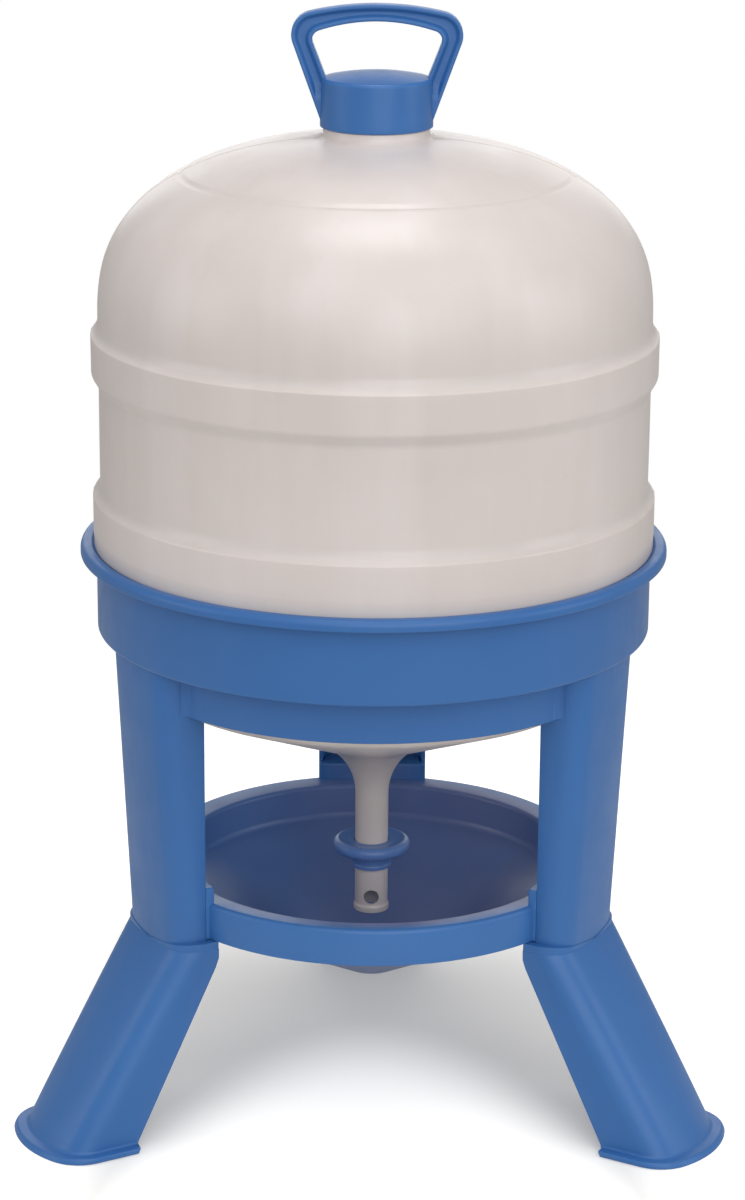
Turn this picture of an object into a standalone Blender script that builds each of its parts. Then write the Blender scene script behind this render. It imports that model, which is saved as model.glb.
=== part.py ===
# Poultry drinker on three legs: a siphon tank in a ring with columns, a round trough and splayed feet.
# Metres, +Z up, the front towards -Y, the floor at Z = 0.

import math

import bmesh
import bpy
from mathutils import Vector

# Driving sizes

GAP = 0.0003                      # gap between pieces that touch
PLUG_CLEARANCE = 0.0005           # play round each plugged joint

SEGMENTS = 48                     # facets round the large turned pieces
CAP_SEGMENTS = 36
LEG_ANGLES = {"left": -150.0, "right": -30.0, "back": 90.0}

# Trough
TROUGH_RADIUS = 0.1474
TROUGH_WALL_HEIGHT = 0.0248
TROUGH_RIM_WIDTH = 0.0176
TROUGH_RIM_FALL = 0.0017          # the rim's top slopes inwards
TROUGH_RIM_ROUNDING = 0.0015
TROUGH_WALL = 0.0028
BOWL_WALL_HEIGHT = 0.0227         # steep wall inside the rim, above the conical floor
BOWL_WALL_DRAFT = 0.0012
BOWL_FILLET = 0.0060
TROUGH_FLOOR_SLOPE = 27.3         # degrees
SUMP_RADIUS = 0.0150
SUMP_FILLET = 0.0120
TONGUE_BITE = 0.0087              # how far the tongue reaches into the trough's wall
TONGUE_RISE = 0.0135              # above the rim
TONGUE_WALL = 0.0025

# Stand: ring and columns
COLUMN_LENGTH = 0.1897
COLUMN_HALF_WIDTH = 0.0380
COLUMN_FOOT_DEPTH = 0.0204        # column's face at its lower end, outside the trough
COLUMN_HEAD_SETBACK = 0.0039      # column's face under the ring, inside the ring's wall
COLUMN_HEAD_DEPTH = 0.0315        # from that face to the column's open inner edge
COLUMN_CORNER = 0.0150
COLUMN_FACE_RADIUS = 0.160
COLUMN_LAP = 0.0012               # open inner edge, inside the trough's outer radius
COLUMN_WALL = 0.0030
RING_HEIGHT = 0.0594
RING_WALL = 0.0030
RING_EDGE_ROUNDING = 0.0022
RING_MOUTH_ROUNDING = 0.0018
RIM_OVERHANG = 0.0105
RIM_DROP = 0.0084
RIM_THICKNESS = 0.0028
RIM_ROUNDING = 0.0042
SKIRT_STEP = 0.0191               # skirt's outside, inside the ring's wall
SKIRT_DROP = 0.0290

# Tank
TANK_WALL = 0.0022
TANK_RADIUS = 0.1786
TANK_RING_PLAY = 0.0020           # between the tank's lower part and the ring
TANK_SKIRT_PLAY = 0.0075          # between the tank's bottom and the skirt
TANK_STEP_PLAY = 0.0010           # between the tank's step and the ring's
TANK_STEP_RISE = 0.0120
TANK_STEP_ROUNDING = 0.7          # fillets of the tank's step, as a share of its width
TANK_COLUMN_PLAY = 0.0012         # between the tank's bottom and the columns
CONE_EDGE_DROP = 0.0073           # bottom's outer edge below the skirt's end
SEAT_WIDTH = 0.0030               # ledge on the ring, outside the tank's wall
BAND_HEIGHT = 0.0047              # bands stand out from the wall
LOWER_BAND_FOOT = 0.0073
LOWER_BAND_WIDTH = 0.0237
WAIST_HEIGHT = 0.0608
UPPER_BAND_WIDTH = 0.0255
BAND_LOWER_SLOPE = 0.0070
BAND_UPPER_SLOPE = 0.0125
BAND_ROUNDING = 0.0054
DOME_RISE = 0.1135
DOME_EXPONENT = 2.37
CROWN_GROOVE_RADIUS = 0.1250
CROWN_GROOVE_WIDTH = 0.0060
CROWN_GROOVE_DEPTH = 0.0009
CONE_SLOPE = 22.15                # degrees
CONE_CORNER = 0.0120
CONE_TUBE_FLARE = 0.0290          # fillet between the conical bottom and the tube
TUBE_RADIUS = 0.0111
TUBE_WALL = 0.0020
OUTLET_CLEARANCE = 0.0398         # from the trough's floor to the tube's end
LIP_STANDOUT = 0.0008
LIP_HEIGHT = 0.0052
LIP_ROUNDING = 0.0006
HOLE_RADIUS = 0.0051
HOLE_HEIGHT = 0.0112              # hole's centre above the tube's end
NECK_RADIUS = 0.0315
NECK_HEIGHT = 0.0246              # above the collar
COLLAR_WIDTH = 0.0025             # collar stands out from the neck
COLLAR_RISE = 0.0079              # above the dome

# Cap and gasket
CAP_THREAD_SPACE = 0.0019         # between the neck and the cap's bore
CAP_WALL = 0.0026
CAP_TAPER = 0.0006
CAP_CROWN = 0.0062
CAP_EDGE_ROUNDING = 0.0024
CAP_EDGE_THICKNESS = 0.0017       # plate at the cap's edge, before the crown
CAP_TOP_THICKNESS = 0.0030
GASKET_THICKNESS = 0.0020
GASKET_LAP = 0.0023               # gasket reaches inside the neck's bore
GASKET_PLAY = 0.0004
HANDLE_DEPTH = 0.0120
HANDLE_RECESS = 0.0018            # groove along each face
HANDLE_FLANGE = 0.0027
HANDLE_HEIGHT = 0.0757            # handle's top above the cap's lower edge
HANDLE_BAR = 0.0089               # height of the top bar
HANDLE_ARCH = 0.0029              # rise of the top bar's upper line
HANDLE_INNER_ARCH = 0.0051
HANDLE_SPREAD = 0.0261            # from the handle's foot out to its top corner
HANDLE_FOOT_INSET = 0.0004        # handle's foot inside the cap's side
HANDLE_LEG = 0.0137               # width of the side bars at the foot
HANDLE_LEG_WIDENING = 0.0027      # and how much wider they are at their top
HANDLE_ROOT = 0.0028              # where the side bars leave the cap, above its lower edge
HANDLE_CORNER = 0.0180
HANDLE_INNER_CORNER = 0.0075
HANDLE_RECESS_START = 0.0190      # lower end of the groove, above the cap's lower edge

# Shut-off ring
SLEEVE_WALL = 0.0016
SLEEVE_CLEARANCE = 0.0004
SLEEVE_LENGTH = 0.0196
SLEEVE_BEAD = 0.0004
SLEEVE_BEAD_HEIGHT = 0.0022
FLANGE_RADIUS = 0.0260
FLANGE_THICKNESS = 0.0066
FLANGE_ROUNDING = 0.0030
FLANGE_DISH = 0.0036              # its middle lies below its rim
SHUTOFF_TRAVEL = 0.0256

# Feet
FOOT_HEIGHT = 0.1304              # shoulder that the column stands on
FOOT_PAD_RISE = 0.0049            # pad inside the column, above the shoulder
FOOT_SIDE_LEDGE = 0.0055          # shoulder beside the column
FOOT_FRONT_LEDGE = 0.0017         # shoulder in front of the column
FOOT_TOP_CORNER = 0.0170
FOOT_LAP = 0.0129                 # open inner edge, under the trough
FOOT_SPLAY = 0.0854               # from the column's face out to the sole
FOOT_SOLE_DEPTH = 0.0539
FOOT_SOLE_HALF_WIDTH = 0.0395
FOOT_SOLE_CORNER = 0.0183
FOOT_SOLE_FACE_RADIUS = 0.0665
FOOT_WALL = 0.0035
SOLE_LIP = 0.0074                 # lip round the sole
SOLE_LIP_THICKNESS = 0.0040
SOLE_LIP_ROUNDING = 0.0009
SOLE_LIP_INSET = 0.0010           # lip ends short of the foot's inner edge
PAD_SIDE_INSET = 0.0008
PAD_INNER_INSET = 0.0015
PEG_WALL = 0.0025

# Heights and radii that follow from the sizes
TROUGH_SEAT_Z = FOOT_HEIGHT + FOOT_PAD_RISE + GAP
TROUGH_RIM_Z = TROUGH_SEAT_Z + TROUGH_WALL_HEIGHT
TONGUE_TOP_Z = TROUGH_RIM_Z + TONGUE_RISE
COLUMN_FOOT_Z = FOOT_HEIGHT + GAP
RING_BASE_Z = COLUMN_FOOT_Z + COLUMN_LENGTH
RING_STEP_Z = RING_BASE_Z + RING_WALL
RING_TOP_Z = RING_BASE_Z + RING_HEIGHT
SKIRT_END_Z = RING_BASE_Z - SKIRT_DROP
TANK_SEAT_Z = RING_TOP_Z + GAP
LOWER_BAND_Z = TANK_SEAT_Z + LOWER_BAND_FOOT
LOWER_BAND_TOP_Z = LOWER_BAND_Z + LOWER_BAND_WIDTH
WAIST_Z = LOWER_BAND_TOP_Z + BAND_UPPER_SLOPE
UPPER_BAND_Z = WAIST_Z + WAIST_HEIGHT + BAND_LOWER_SLOPE
UPPER_BAND_TOP_Z = UPPER_BAND_Z + UPPER_BAND_WIDTH
DOME_BASE_Z = UPPER_BAND_TOP_Z + BAND_UPPER_SLOPE

BAND_RADIUS = TANK_RADIUS + BAND_HEIGHT
RING_INNER_RADIUS = TANK_RADIUS
RING_RADIUS = RING_INNER_RADIUS + RING_WALL
RIM_RADIUS = RING_RADIUS + RIM_OVERHANG
SKIRT_RADIUS = RING_RADIUS - SKIRT_STEP
SKIRT_INNER_RADIUS = SKIRT_RADIUS - RING_WALL
TANK_RING_RADIUS = RING_INNER_RADIUS - TANK_RING_PLAY
TANK_BOTTOM_RADIUS = SKIRT_INNER_RADIUS - TANK_SKIRT_PLAY

TROUGH_RIM_INNER = TROUGH_RADIUS - TROUGH_RIM_WIDTH
BOWL_RADIUS = TROUGH_RIM_INNER - BOWL_WALL_DRAFT
BOWL_EDGE_Z = TROUGH_RIM_Z - TROUGH_RIM_FALL - BOWL_WALL_HEIGHT
FLOOR_TANGENT = math.tan(math.radians(TROUGH_FLOOR_SLOPE))
SUMP_Z = BOWL_EDGE_Z - (BOWL_RADIUS - SUMP_RADIUS) * FLOOR_TANGENT
TUBE_END_Z = SUMP_Z + OUTLET_CLEARANCE
LIP_RADIUS = TUBE_RADIUS + LIP_STANDOUT
LIP_TOP_Z = TUBE_END_Z + LIP_HEIGHT
SHUTOFF_Z = LIP_TOP_Z + GAP + SHUTOFF_TRAVEL

COLUMN_INNER = TROUGH_RADIUS - COLUMN_LAP
COLUMN_FOOT_REACH = TROUGH_RADIUS + COLUMN_FOOT_DEPTH
COLUMN_HEAD_REACH = RING_RADIUS - COLUMN_HEAD_SETBACK
COLUMN_HEAD_INNER = COLUMN_HEAD_REACH - COLUMN_HEAD_DEPTH


def column_reach(height):
    """Reach of the column's face from the axis at a height."""
    share = (height - COLUMN_FOOT_Z) / COLUMN_LENGTH
    return COLUMN_FOOT_REACH + (COLUMN_HEAD_REACH - COLUMN_FOOT_REACH) * share


def column_inner(height):
    """Reach of the column's open inner edge, which clears the trough at its rim."""
    share = (height - TROUGH_RIM_Z) / (RING_BASE_Z - TROUGH_RIM_Z)
    return COLUMN_INNER + (COLUMN_HEAD_INNER - COLUMN_INNER) * share


# Plugs, which pass through the narrowest part of the column that they fill
PLUG_INSET = COLUMN_WALL + PLUG_CLEARANCE
TONGUE_INNER = TROUGH_RADIUS - TONGUE_BITE
TONGUE_REACH = min(column_reach(COLUMN_FOOT_Z), column_reach(TONGUE_TOP_Z)) - PLUG_INSET
PAD_REACH = min(column_inner(COLUMN_FOOT_Z), column_inner(TROUGH_SEAT_Z)) - PLUG_CLEARANCE
TONGUE_HALF_WIDTH = COLUMN_HALF_WIDTH - PLUG_INSET
TONGUE_CORNER = COLUMN_CORNER - PLUG_INSET
TONGUE_FACE_RADIUS = COLUMN_FACE_RADIUS - PLUG_INSET
PEG_TOP_Z = TONGUE_TOP_Z - TONGUE_WALL - PLUG_CLEARANCE

FOOT_TOP_HALF_WIDTH = COLUMN_HALF_WIDTH + FOOT_SIDE_LEDGE
FOOT_TOP_REACH = COLUMN_FOOT_REACH + FOOT_FRONT_LEDGE
FOOT_TOP_INNER = TROUGH_RADIUS - FOOT_LAP
FOOT_SOLE_REACH = COLUMN_FOOT_REACH + FOOT_SPLAY
FOOT_SOLE_INNER = FOOT_SOLE_REACH - FOOT_SOLE_DEPTH

COLLAR_RADIUS = NECK_RADIUS + COLLAR_WIDTH
NECK_BORE_RADIUS = NECK_RADIUS - TANK_WALL
CAP_BORE_RADIUS = NECK_RADIUS + CAP_THREAD_SPACE
CAP_RADIUS = CAP_BORE_RADIUS + CAP_WALL
GASKET_INNER_RADIUS = NECK_BORE_RADIUS - GASKET_LAP

# The drinker's axis lies off the middle of the base, because only one foot points backwards.
REAR_REACH = FOOT_SOLE_REACH + SOLE_LIP
AXIS_Y = (RIM_RADIUS - REAR_REACH) / 2.0


# Outlines

def arc(centre, radius, start, end, steps):
    """Points on an arc in a plane, with the angles in degrees and both ends included."""
    points = []
    for step in range(steps + 1):
        angle = math.radians(start + (end - start) * step / steps)
        points.append((centre[0] + radius * math.cos(angle), centre[1] + radius * math.sin(angle)))
    return points


def channel_path(half_width, reach, inner, corner, face_radius, corner_steps=4, face_steps=4):
    """Open path round a channel's section, from one inner edge over the curved face to the other."""
    centre = reach - face_radius
    across = half_width - corner
    along = centre + math.sqrt((face_radius - corner) ** 2 - across ** 2)
    turn = math.degrees(math.atan2(across, along - centre))
    half = [(inner, half_width)]
    half += arc((along, across), corner, 90.0, turn, corner_steps)
    face = arc((centre, 0.0), face_radius, turn, -turn, face_steps)
    lower = [(x, -y) for x, y in reversed(half)]
    return half + face[1:-1] + lower


def between(first, last, share):
    """Outline at a share of the way from one outline to another."""
    return [(a[0] + (b[0] - a[0]) * share, a[1] + (b[1] - a[1]) * share)
            for a, b in zip(first, last)]


def offset_path(points, distance):
    """Open path moved to its left-hand side by a distance, with mitred corners."""
    moved = []
    for index, point in enumerate(points):
        here = Vector(point)
        before = here - Vector(points[index - 1]) if index > 0 else None
        after = Vector(points[index + 1]) - here if index < len(points) - 1 else before
        before = before or after
        normal_before = Vector((-before.y, before.x)).normalized()
        normal_after = Vector((-after.y, after.x)).normalized()
        mitre = (normal_before + normal_after).normalized()
        here += mitre * distance / mitre.dot(normal_before)
        moved.append((here.x, here.y))
    return moved


def rounded_corner(before, corner, after, radius, steps):
    """Arc that rounds the corner of two straight lines."""
    point = Vector(corner)
    to_before = (Vector(before) - point).normalized()
    to_after = (Vector(after) - point).normalized()
    half_angle = to_before.angle(to_after) / 2.0
    centre = point + (to_before + to_after).normalized() * radius / math.sin(half_angle)
    first = point + to_before * radius / math.tan(half_angle) - centre
    last = point + to_after * radius / math.tan(half_angle) - centre
    start = math.degrees(math.atan2(first.y, first.x))
    sweep = math.degrees(math.atan2(last.y, last.x)) - start
    sweep = (sweep + 180.0) % 360.0 - 180.0
    return arc(centre, radius, start, start + sweep, steps)


def rounded_line(corners, radii, steps):
    """Line through corners, with each corner but the first and the last rounded."""
    line = []
    for index in range(1, len(corners) - 1):
        line += rounded_corner(corners[index - 1], corners[index], corners[index + 1],
                               radii[index - 1], steps[index - 1])
    return line


def around_leg(path, height, angle):
    """Points of a plan outline, given along and across a leg, set at the leg's angle."""
    cosine = math.cos(math.radians(angle))
    sine = math.sin(math.radians(angle))
    return [(x * cosine - y * sine, x * sine + y * cosine + AXIS_Y, height) for x, y in path]


# Meshes

def new_object(name, mesh_data, location, shade_angle=35.0):
    """Object in the scene whose mesh faces point outwards and are shaded smooth."""
    bmesh.ops.remove_doubles(mesh_data, verts=mesh_data.verts, dist=1e-6)
    bmesh.ops.recalc_face_normals(mesh_data, faces=mesh_data.faces)
    mesh = bpy.data.meshes.new(name)
    mesh_data.to_mesh(mesh)
    mesh_data.free()
    mesh.shade_smooth()
    mesh.set_sharp_from_angle(angle=math.radians(shade_angle))
    piece = bpy.data.objects.new(name, mesh)
    piece.location = location
    bpy.context.scene.collection.objects.link(piece)
    return piece


def turned(name, profile, location, closed=True, segments=SEGMENTS):
    """Solid of revolution about Z. An open profile starts and ends on the axis."""
    mesh_data = bmesh.new()
    verts = [mesh_data.verts.new((radius, 0.0, height - location[2])) for radius, height in profile]
    edges = [mesh_data.edges.new(pair) for pair in zip(verts, verts[1:])]
    if closed:
        edges.append(mesh_data.edges.new((verts[-1], verts[0])))
    bmesh.ops.spin(mesh_data, geom=verts + edges, cent=(0.0, 0.0, 0.0), axis=(0.0, 0.0, 1.0),
                   angle=2.0 * math.pi, steps=segments, use_merge=True, use_duplicate=False)
    bmesh.ops.dissolve_degenerate(mesh_data, dist=1e-7, edges=mesh_data.edges)
    return new_object(name, mesh_data, location)


def lofted(name, sections, location):
    """Solid through closed sections of equally many points, with flat ends."""
    mesh_data = bmesh.new()
    loops = []
    for section in sections:
        loops.append([mesh_data.verts.new(Vector(point) - Vector(location)) for point in section])
    for lower, upper in zip(loops, loops[1:]):
        count = len(lower)
        for index in range(count):
            following = (index + 1) % count
            mesh_data.faces.new((lower[index], lower[following], upper[following], upper[index]))
    mesh_data.faces.new(list(reversed(loops[0])))
    mesh_data.faces.new(loops[-1])
    return new_object(name, mesh_data, location)


def combine(piece, other, operation):
    """Boolean that keeps its second solid out of the finished model."""
    bpy.context.view_layer.update()
    other.hide_render = True
    other.display_type = "WIRE"
    other.parent = piece
    other.matrix_parent_inverse = piece.matrix_world.inverted()
    modifier = piece.modifiers.new(other.name, "BOOLEAN")
    modifier.operation = operation
    modifier.solver = "EXACT"
    modifier.object = other


def material(name, colour, roughness, alpha=1.0):
    """Principled material of a plain moulded plastic."""
    result = bpy.data.materials.new(name)
    result.use_nodes = True
    shader = result.node_tree.nodes["Principled BSDF"]
    shader.inputs["Base Color"].default_value = (*colour, 1.0)
    shader.inputs["Roughness"].default_value = roughness
    shader.inputs["Metallic"].default_value = 0.0
    shader.inputs["Alpha"].default_value = alpha
    result.diffuse_color = (*colour, alpha)
    return result


# Feet

def sole_path(grow, inner=FOOT_SOLE_INNER):
    """Outline of the foot at the floor, grown all round by a distance."""
    return channel_path(FOOT_SOLE_HALF_WIDTH + grow, FOOT_SOLE_REACH + grow, inner,
                        FOOT_SOLE_CORNER + grow, FOOT_SOLE_FACE_RADIUS + grow)


def foot_top_path(grow, inner=FOOT_TOP_INNER):
    """Outline of the foot at its shoulder, grown all round by a distance."""
    return channel_path(FOOT_TOP_HALF_WIDTH + grow, FOOT_TOP_REACH + grow, inner,
                        FOOT_TOP_CORNER + grow, COLUMN_FACE_RADIUS + grow)


def tongue_path(inset):
    """Outline of the trough's tongue, drawn in all round by a distance."""
    return channel_path(TONGUE_HALF_WIDTH - inset, TONGUE_REACH - inset, TONGUE_INNER + inset,
                        TONGUE_CORNER - inset, TONGUE_FACE_RADIUS - inset)


def pad_path():
    """Outline of the foot's pad: the tongue's front part and a strip on both sides of it."""
    plug = channel_path(TONGUE_HALF_WIDTH, TONGUE_REACH, PAD_REACH, TONGUE_CORNER,
                        TONGUE_FACE_RADIUS)
    inner = FOOT_TOP_INNER + PAD_INNER_INSET
    side = FOOT_TOP_HALF_WIDTH - PAD_SIDE_INSET
    return [(inner, side), (PAD_REACH, side)] + plug + [(PAD_REACH, -side), (inner, -side)]


def make_foot(side):
    """Splayed channel foot, open inwards and below, with a peg for the trough's tongue."""
    angle = LEG_ANGLES[side]
    name = "foot_" + side
    origin = Vector(around_leg([(COLUMN_INNER, 0.0)], FOOT_HEIGHT, angle)[0])
    foot = lofted(name, [around_leg(sole_path(0.0), 0.0, angle),
                         around_leg(foot_top_path(0.0), FOOT_HEIGHT, angle)], origin)

    edge = SOLE_LIP - SOLE_LIP_ROUNDING
    lip_levels = [(edge, 0.0), (SOLE_LIP, SOLE_LIP_ROUNDING),
                  (SOLE_LIP, SOLE_LIP_THICKNESS - SOLE_LIP_ROUNDING), (edge, SOLE_LIP_THICKNESS)]
    lip_inner = FOOT_SOLE_INNER + SOLE_LIP_INSET
    lip = lofted(name + "_lip", [around_leg(sole_path(grow, lip_inner), height, angle)
                                 for grow, height in lip_levels], origin)
    combine(foot, lip, "UNION")

    pad_base = FOOT_HEIGHT - FOOT_WALL / 2.0
    pad = lofted(name + "_pad", [around_leg(pad_path(), height, angle)
                                 for height in (pad_base, FOOT_HEIGHT + FOOT_PAD_RISE)], origin)
    combine(foot, pad, "UNION")

    peg_inset = TONGUE_WALL + PLUG_CLEARANCE
    peg = lofted(name + "_peg", [around_leg(tongue_path(peg_inset), height, angle)
                                 for height in (pad_base, PEG_TOP_Z)], origin)
    combine(foot, peg, "UNION")

    sole = sole_path(-FOOT_WALL, FOOT_SOLE_INNER - FOOT_WALL)
    top = foot_top_path(-FOOT_WALL, FOOT_TOP_INNER - FOOT_WALL)
    below = -FOOT_WALL / FOOT_HEIGHT
    ceiling = 1.0 - FOOT_WALL / FOOT_HEIGHT
    channel = lofted(name + "_channel", [around_leg(between(sole, top, share), FOOT_HEIGHT * share, angle)
                                         for share in (below, ceiling)], origin)
    combine(foot, channel, "DIFFERENCE")

    hollow_path = tongue_path(peg_inset + PEG_WALL)
    hollow = lofted(name + "_hollow", [around_leg(hollow_path, height, angle)
                                       for height in (FOOT_HEIGHT - 2.0 * FOOT_WALL,
                                                      PEG_TOP_Z - PEG_WALL)], origin)
    combine(foot, hollow, "DIFFERENCE")
    return foot


# Trough

def trough_profile():
    """Section of the trough: hollow rim, steep inner wall, conical floor and small flat sump."""
    rim_inner = (TROUGH_RIM_INNER, TROUGH_RIM_Z - TROUGH_RIM_FALL)
    rim_outer = (TROUGH_RADIUS, TROUGH_RIM_Z)
    upper = [(0.0, SUMP_Z)]
    upper += rounded_line([(0.0, SUMP_Z), (SUMP_RADIUS, SUMP_Z), (BOWL_RADIUS, BOWL_EDGE_Z),
                           rim_inner, rim_outer, (TROUGH_RADIUS, TROUGH_SEAT_Z)],
                          [SUMP_FILLET, BOWL_FILLET, TROUGH_RIM_ROUNDING, TROUGH_RIM_ROUNDING],
                          [2, 2, 2, 3])
    wall = TROUGH_WALL
    floor_drop = wall / math.cos(math.radians(TROUGH_FLOOR_SLOPE))
    sump_growth = wall * math.tan(math.radians(TROUGH_FLOOR_SLOPE / 2.0))
    lower = [(TROUGH_RADIUS, TROUGH_SEAT_Z),
             (TROUGH_RADIUS - wall, TROUGH_SEAT_Z),
             (TROUGH_RADIUS - wall, TROUGH_RIM_Z - wall),
             (TROUGH_RIM_INNER + wall, rim_inner[1] - wall),
             (BOWL_RADIUS + wall, BOWL_EDGE_Z + wall * FLOOR_TANGENT - floor_drop),
             (SUMP_RADIUS + sump_growth, SUMP_Z - wall),
             (0.0, SUMP_Z - wall)]
    return upper + lower


def make_trough():
    """Drinking trough with three hollow tongues that the columns plug over."""
    location = Vector((0.0, AXIS_Y, TROUGH_SEAT_Z))
    trough = turned("trough", trough_profile(), location, closed=False)
    for side, angle in LEG_ANGLES.items():
        tongue = lofted("tongue_" + side, [around_leg(tongue_path(0.0), height, angle)
                                           for height in (TROUGH_SEAT_Z, TONGUE_TOP_Z)], location)
        combine(trough, tongue, "UNION")
    hollow_levels = (TROUGH_SEAT_Z - TONGUE_WALL, TONGUE_TOP_Z - TONGUE_WALL)
    for side, angle in LEG_ANGLES.items():
        hollow = lofted("tongue_hollow_" + side, [around_leg(tongue_path(TONGUE_WALL), height, angle)
                                                  for height in hollow_levels], location)
        combine(trough, hollow, "DIFFERENCE")
    return trough


# Stand

def ring_profile():
    """Closed section of the ring: rolled rim, outer wall, step and lower skirt."""
    inner = RING_INNER_RADIUS
    top = RING_TOP_Z
    lip_z = top - RIM_DROP
    points = arc((inner + RING_MOUTH_ROUNDING, top - RING_MOUTH_ROUNDING), RING_MOUTH_ROUNDING,
                 180.0, 90.0, 2)
    points += arc((RIM_RADIUS - RIM_ROUNDING, top - RIM_ROUNDING), RIM_ROUNDING, 90.0, 0.0, 4)
    points += [(RIM_RADIUS, lip_z), (RIM_RADIUS - RIM_THICKNESS, lip_z),
               (RIM_RADIUS - RIM_THICKNESS, top - RIM_ROUNDING),
               (RIM_RADIUS - RIM_ROUNDING, top - RIM_THICKNESS),
               (RING_RADIUS, top - RIM_ROUNDING)]
    points += arc((RING_RADIUS - RING_EDGE_ROUNDING, RING_BASE_Z + RING_EDGE_ROUNDING),
                  RING_EDGE_ROUNDING, 0.0, -90.0, 3)
    points += [(SKIRT_RADIUS, RING_BASE_Z), (SKIRT_RADIUS, SKIRT_END_Z),
               (SKIRT_INNER_RADIUS, SKIRT_END_Z), (SKIRT_INNER_RADIUS, RING_STEP_Z),
               (inner, RING_STEP_Z)]
    return points


def tank_space_profile():
    """Space that the tank's bottom and its rounded corner need between the columns."""
    play = TANK_COLUMN_PLAY
    drop = play / math.cos(math.radians(CONE_SLOPE))
    side = TANK_BOTTOM_RADIUS + play
    wide = SKIRT_RADIUS - RING_WALL / 2.0
    middle = (side / 2.0, cone_height(side / 2.0) - drop)
    corner = rounded_corner(middle, (side, cone_height(side) - drop), (side, RING_STEP_Z),
                            CONE_CORNER + play, 4)
    widening = wide - side
    return ([(0.0, cone_height(0.0) - drop)] + corner
            + [(side, SKIRT_END_Z + RING_WALL), (wide, SKIRT_END_Z + RING_WALL + widening),
               (wide, RING_STEP_Z), (0.0, RING_STEP_Z)])


def make_stand():
    """Ring that carries the tank, with three channel columns open inwards."""
    location = Vector((0.0, AXIS_Y, RING_BASE_Z))
    stand = turned("stand", ring_profile(), location)
    head_z = RING_BASE_Z + RING_WALL / 2.0
    for side, angle in LEG_ANGLES.items():
        sections = []
        for height in (COLUMN_FOOT_Z, head_z):
            reach = column_reach(height)
            edge = column_inner(height)
            outer = channel_path(COLUMN_HALF_WIDTH, reach, edge, COLUMN_CORNER, COLUMN_FACE_RADIUS)
            inner = channel_path(COLUMN_HALF_WIDTH - COLUMN_WALL, reach - COLUMN_WALL, edge,
                                 COLUMN_CORNER - COLUMN_WALL, COLUMN_FACE_RADIUS - COLUMN_WALL)
            sections.append(around_leg(outer + list(reversed(inner)), height, angle))
        column = lofted("column_" + side, sections, location)
        space = turned("tank_space_" + side, tank_space_profile(), location, closed=False)
        combine(column, space, "DIFFERENCE")
        combine(stand, column, "UNION")
    return stand


# Tank

def cone_height(radius):
    """Height of the tank's conical underside at a radius from the axis."""
    edge_z = SKIRT_END_Z - CONE_EDGE_DROP
    return edge_z - (TANK_BOTTOM_RADIUS - radius) * math.tan(math.radians(CONE_SLOPE))


def dome_line(wall, start, end, steps):
    """Line down the dome, a superellipse, between two radii and a wall's thickness inside it."""
    reach = TANK_RADIUS - wall
    rise = DOME_RISE - wall
    power = 2.0 / DOME_EXPONENT
    first = math.asin((start / reach) ** (1.0 / power))
    last = math.asin(min(end / reach, 1.0) ** (1.0 / power))
    line = []
    for step in range(steps + 1):
        angle = first + (last - first) * step / steps
        line.append((reach * math.sin(angle) ** power, DOME_BASE_Z + rise * math.cos(angle) ** power))
    return line


def tank_outside(collar_top_z):
    """Outer line of the tank from its neck down to the end of the outlet tube."""
    line = [(NECK_RADIUS, collar_top_z + NECK_HEIGHT), (NECK_RADIUS, collar_top_z),
            (COLLAR_RADIUS, collar_top_z)]
    half_groove = CROWN_GROOVE_WIDTH / 2.0
    crown = dome_line(0.0, COLLAR_RADIUS, CROWN_GROOVE_RADIUS - half_groove, 3)
    side = dome_line(0.0, CROWN_GROOVE_RADIUS + half_groove, TANK_RADIUS, 6)
    groove_z = (crown[-1][1] + side[0][1]) / 2.0 - CROWN_GROOVE_DEPTH
    line += crown + [(CROWN_GROOVE_RADIUS, groove_z)] + side[:-1]

    corners = [side[-2], (TANK_RADIUS, DOME_BASE_Z), (BAND_RADIUS, UPPER_BAND_TOP_Z),
               (BAND_RADIUS, UPPER_BAND_Z), (TANK_RADIUS, UPPER_BAND_Z - BAND_LOWER_SLOPE),
               (TANK_RADIUS, WAIST_Z), (BAND_RADIUS, LOWER_BAND_TOP_Z), (BAND_RADIUS, LOWER_BAND_Z),
               (TANK_RADIUS + SEAT_WIDTH, TANK_SEAT_Z)]
    line += rounded_line(corners, [BAND_ROUNDING] * 7, [1] * 7)
    line.append(corners[-1])

    corners = [(TANK_RING_RADIUS, TANK_SEAT_Z),
               (TANK_RING_RADIUS, RING_STEP_Z + TANK_STEP_RISE),
               (TANK_BOTTOM_RADIUS, RING_STEP_Z + TANK_STEP_PLAY),
               (TANK_BOTTOM_RADIUS, cone_height(TANK_BOTTOM_RADIUS)),
               (TUBE_RADIUS, cone_height(TUBE_RADIUS)), (TUBE_RADIUS, TUBE_END_Z)]
    step_fillet = TANK_SKIRT_PLAY * TANK_STEP_ROUNDING
    line.append(corners[0])
    line += rounded_line(corners, [step_fillet, step_fillet, CONE_CORNER, CONE_TUBE_FLARE],
                         [1, 1, 2, 5])
    line += [(TUBE_RADIUS, LIP_TOP_Z), (LIP_RADIUS, LIP_TOP_Z - 2.0 * LIP_STANDOUT),
             (LIP_RADIUS, TUBE_END_Z + LIP_ROUNDING), (LIP_RADIUS - LIP_ROUNDING, TUBE_END_Z)]
    return line


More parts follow.
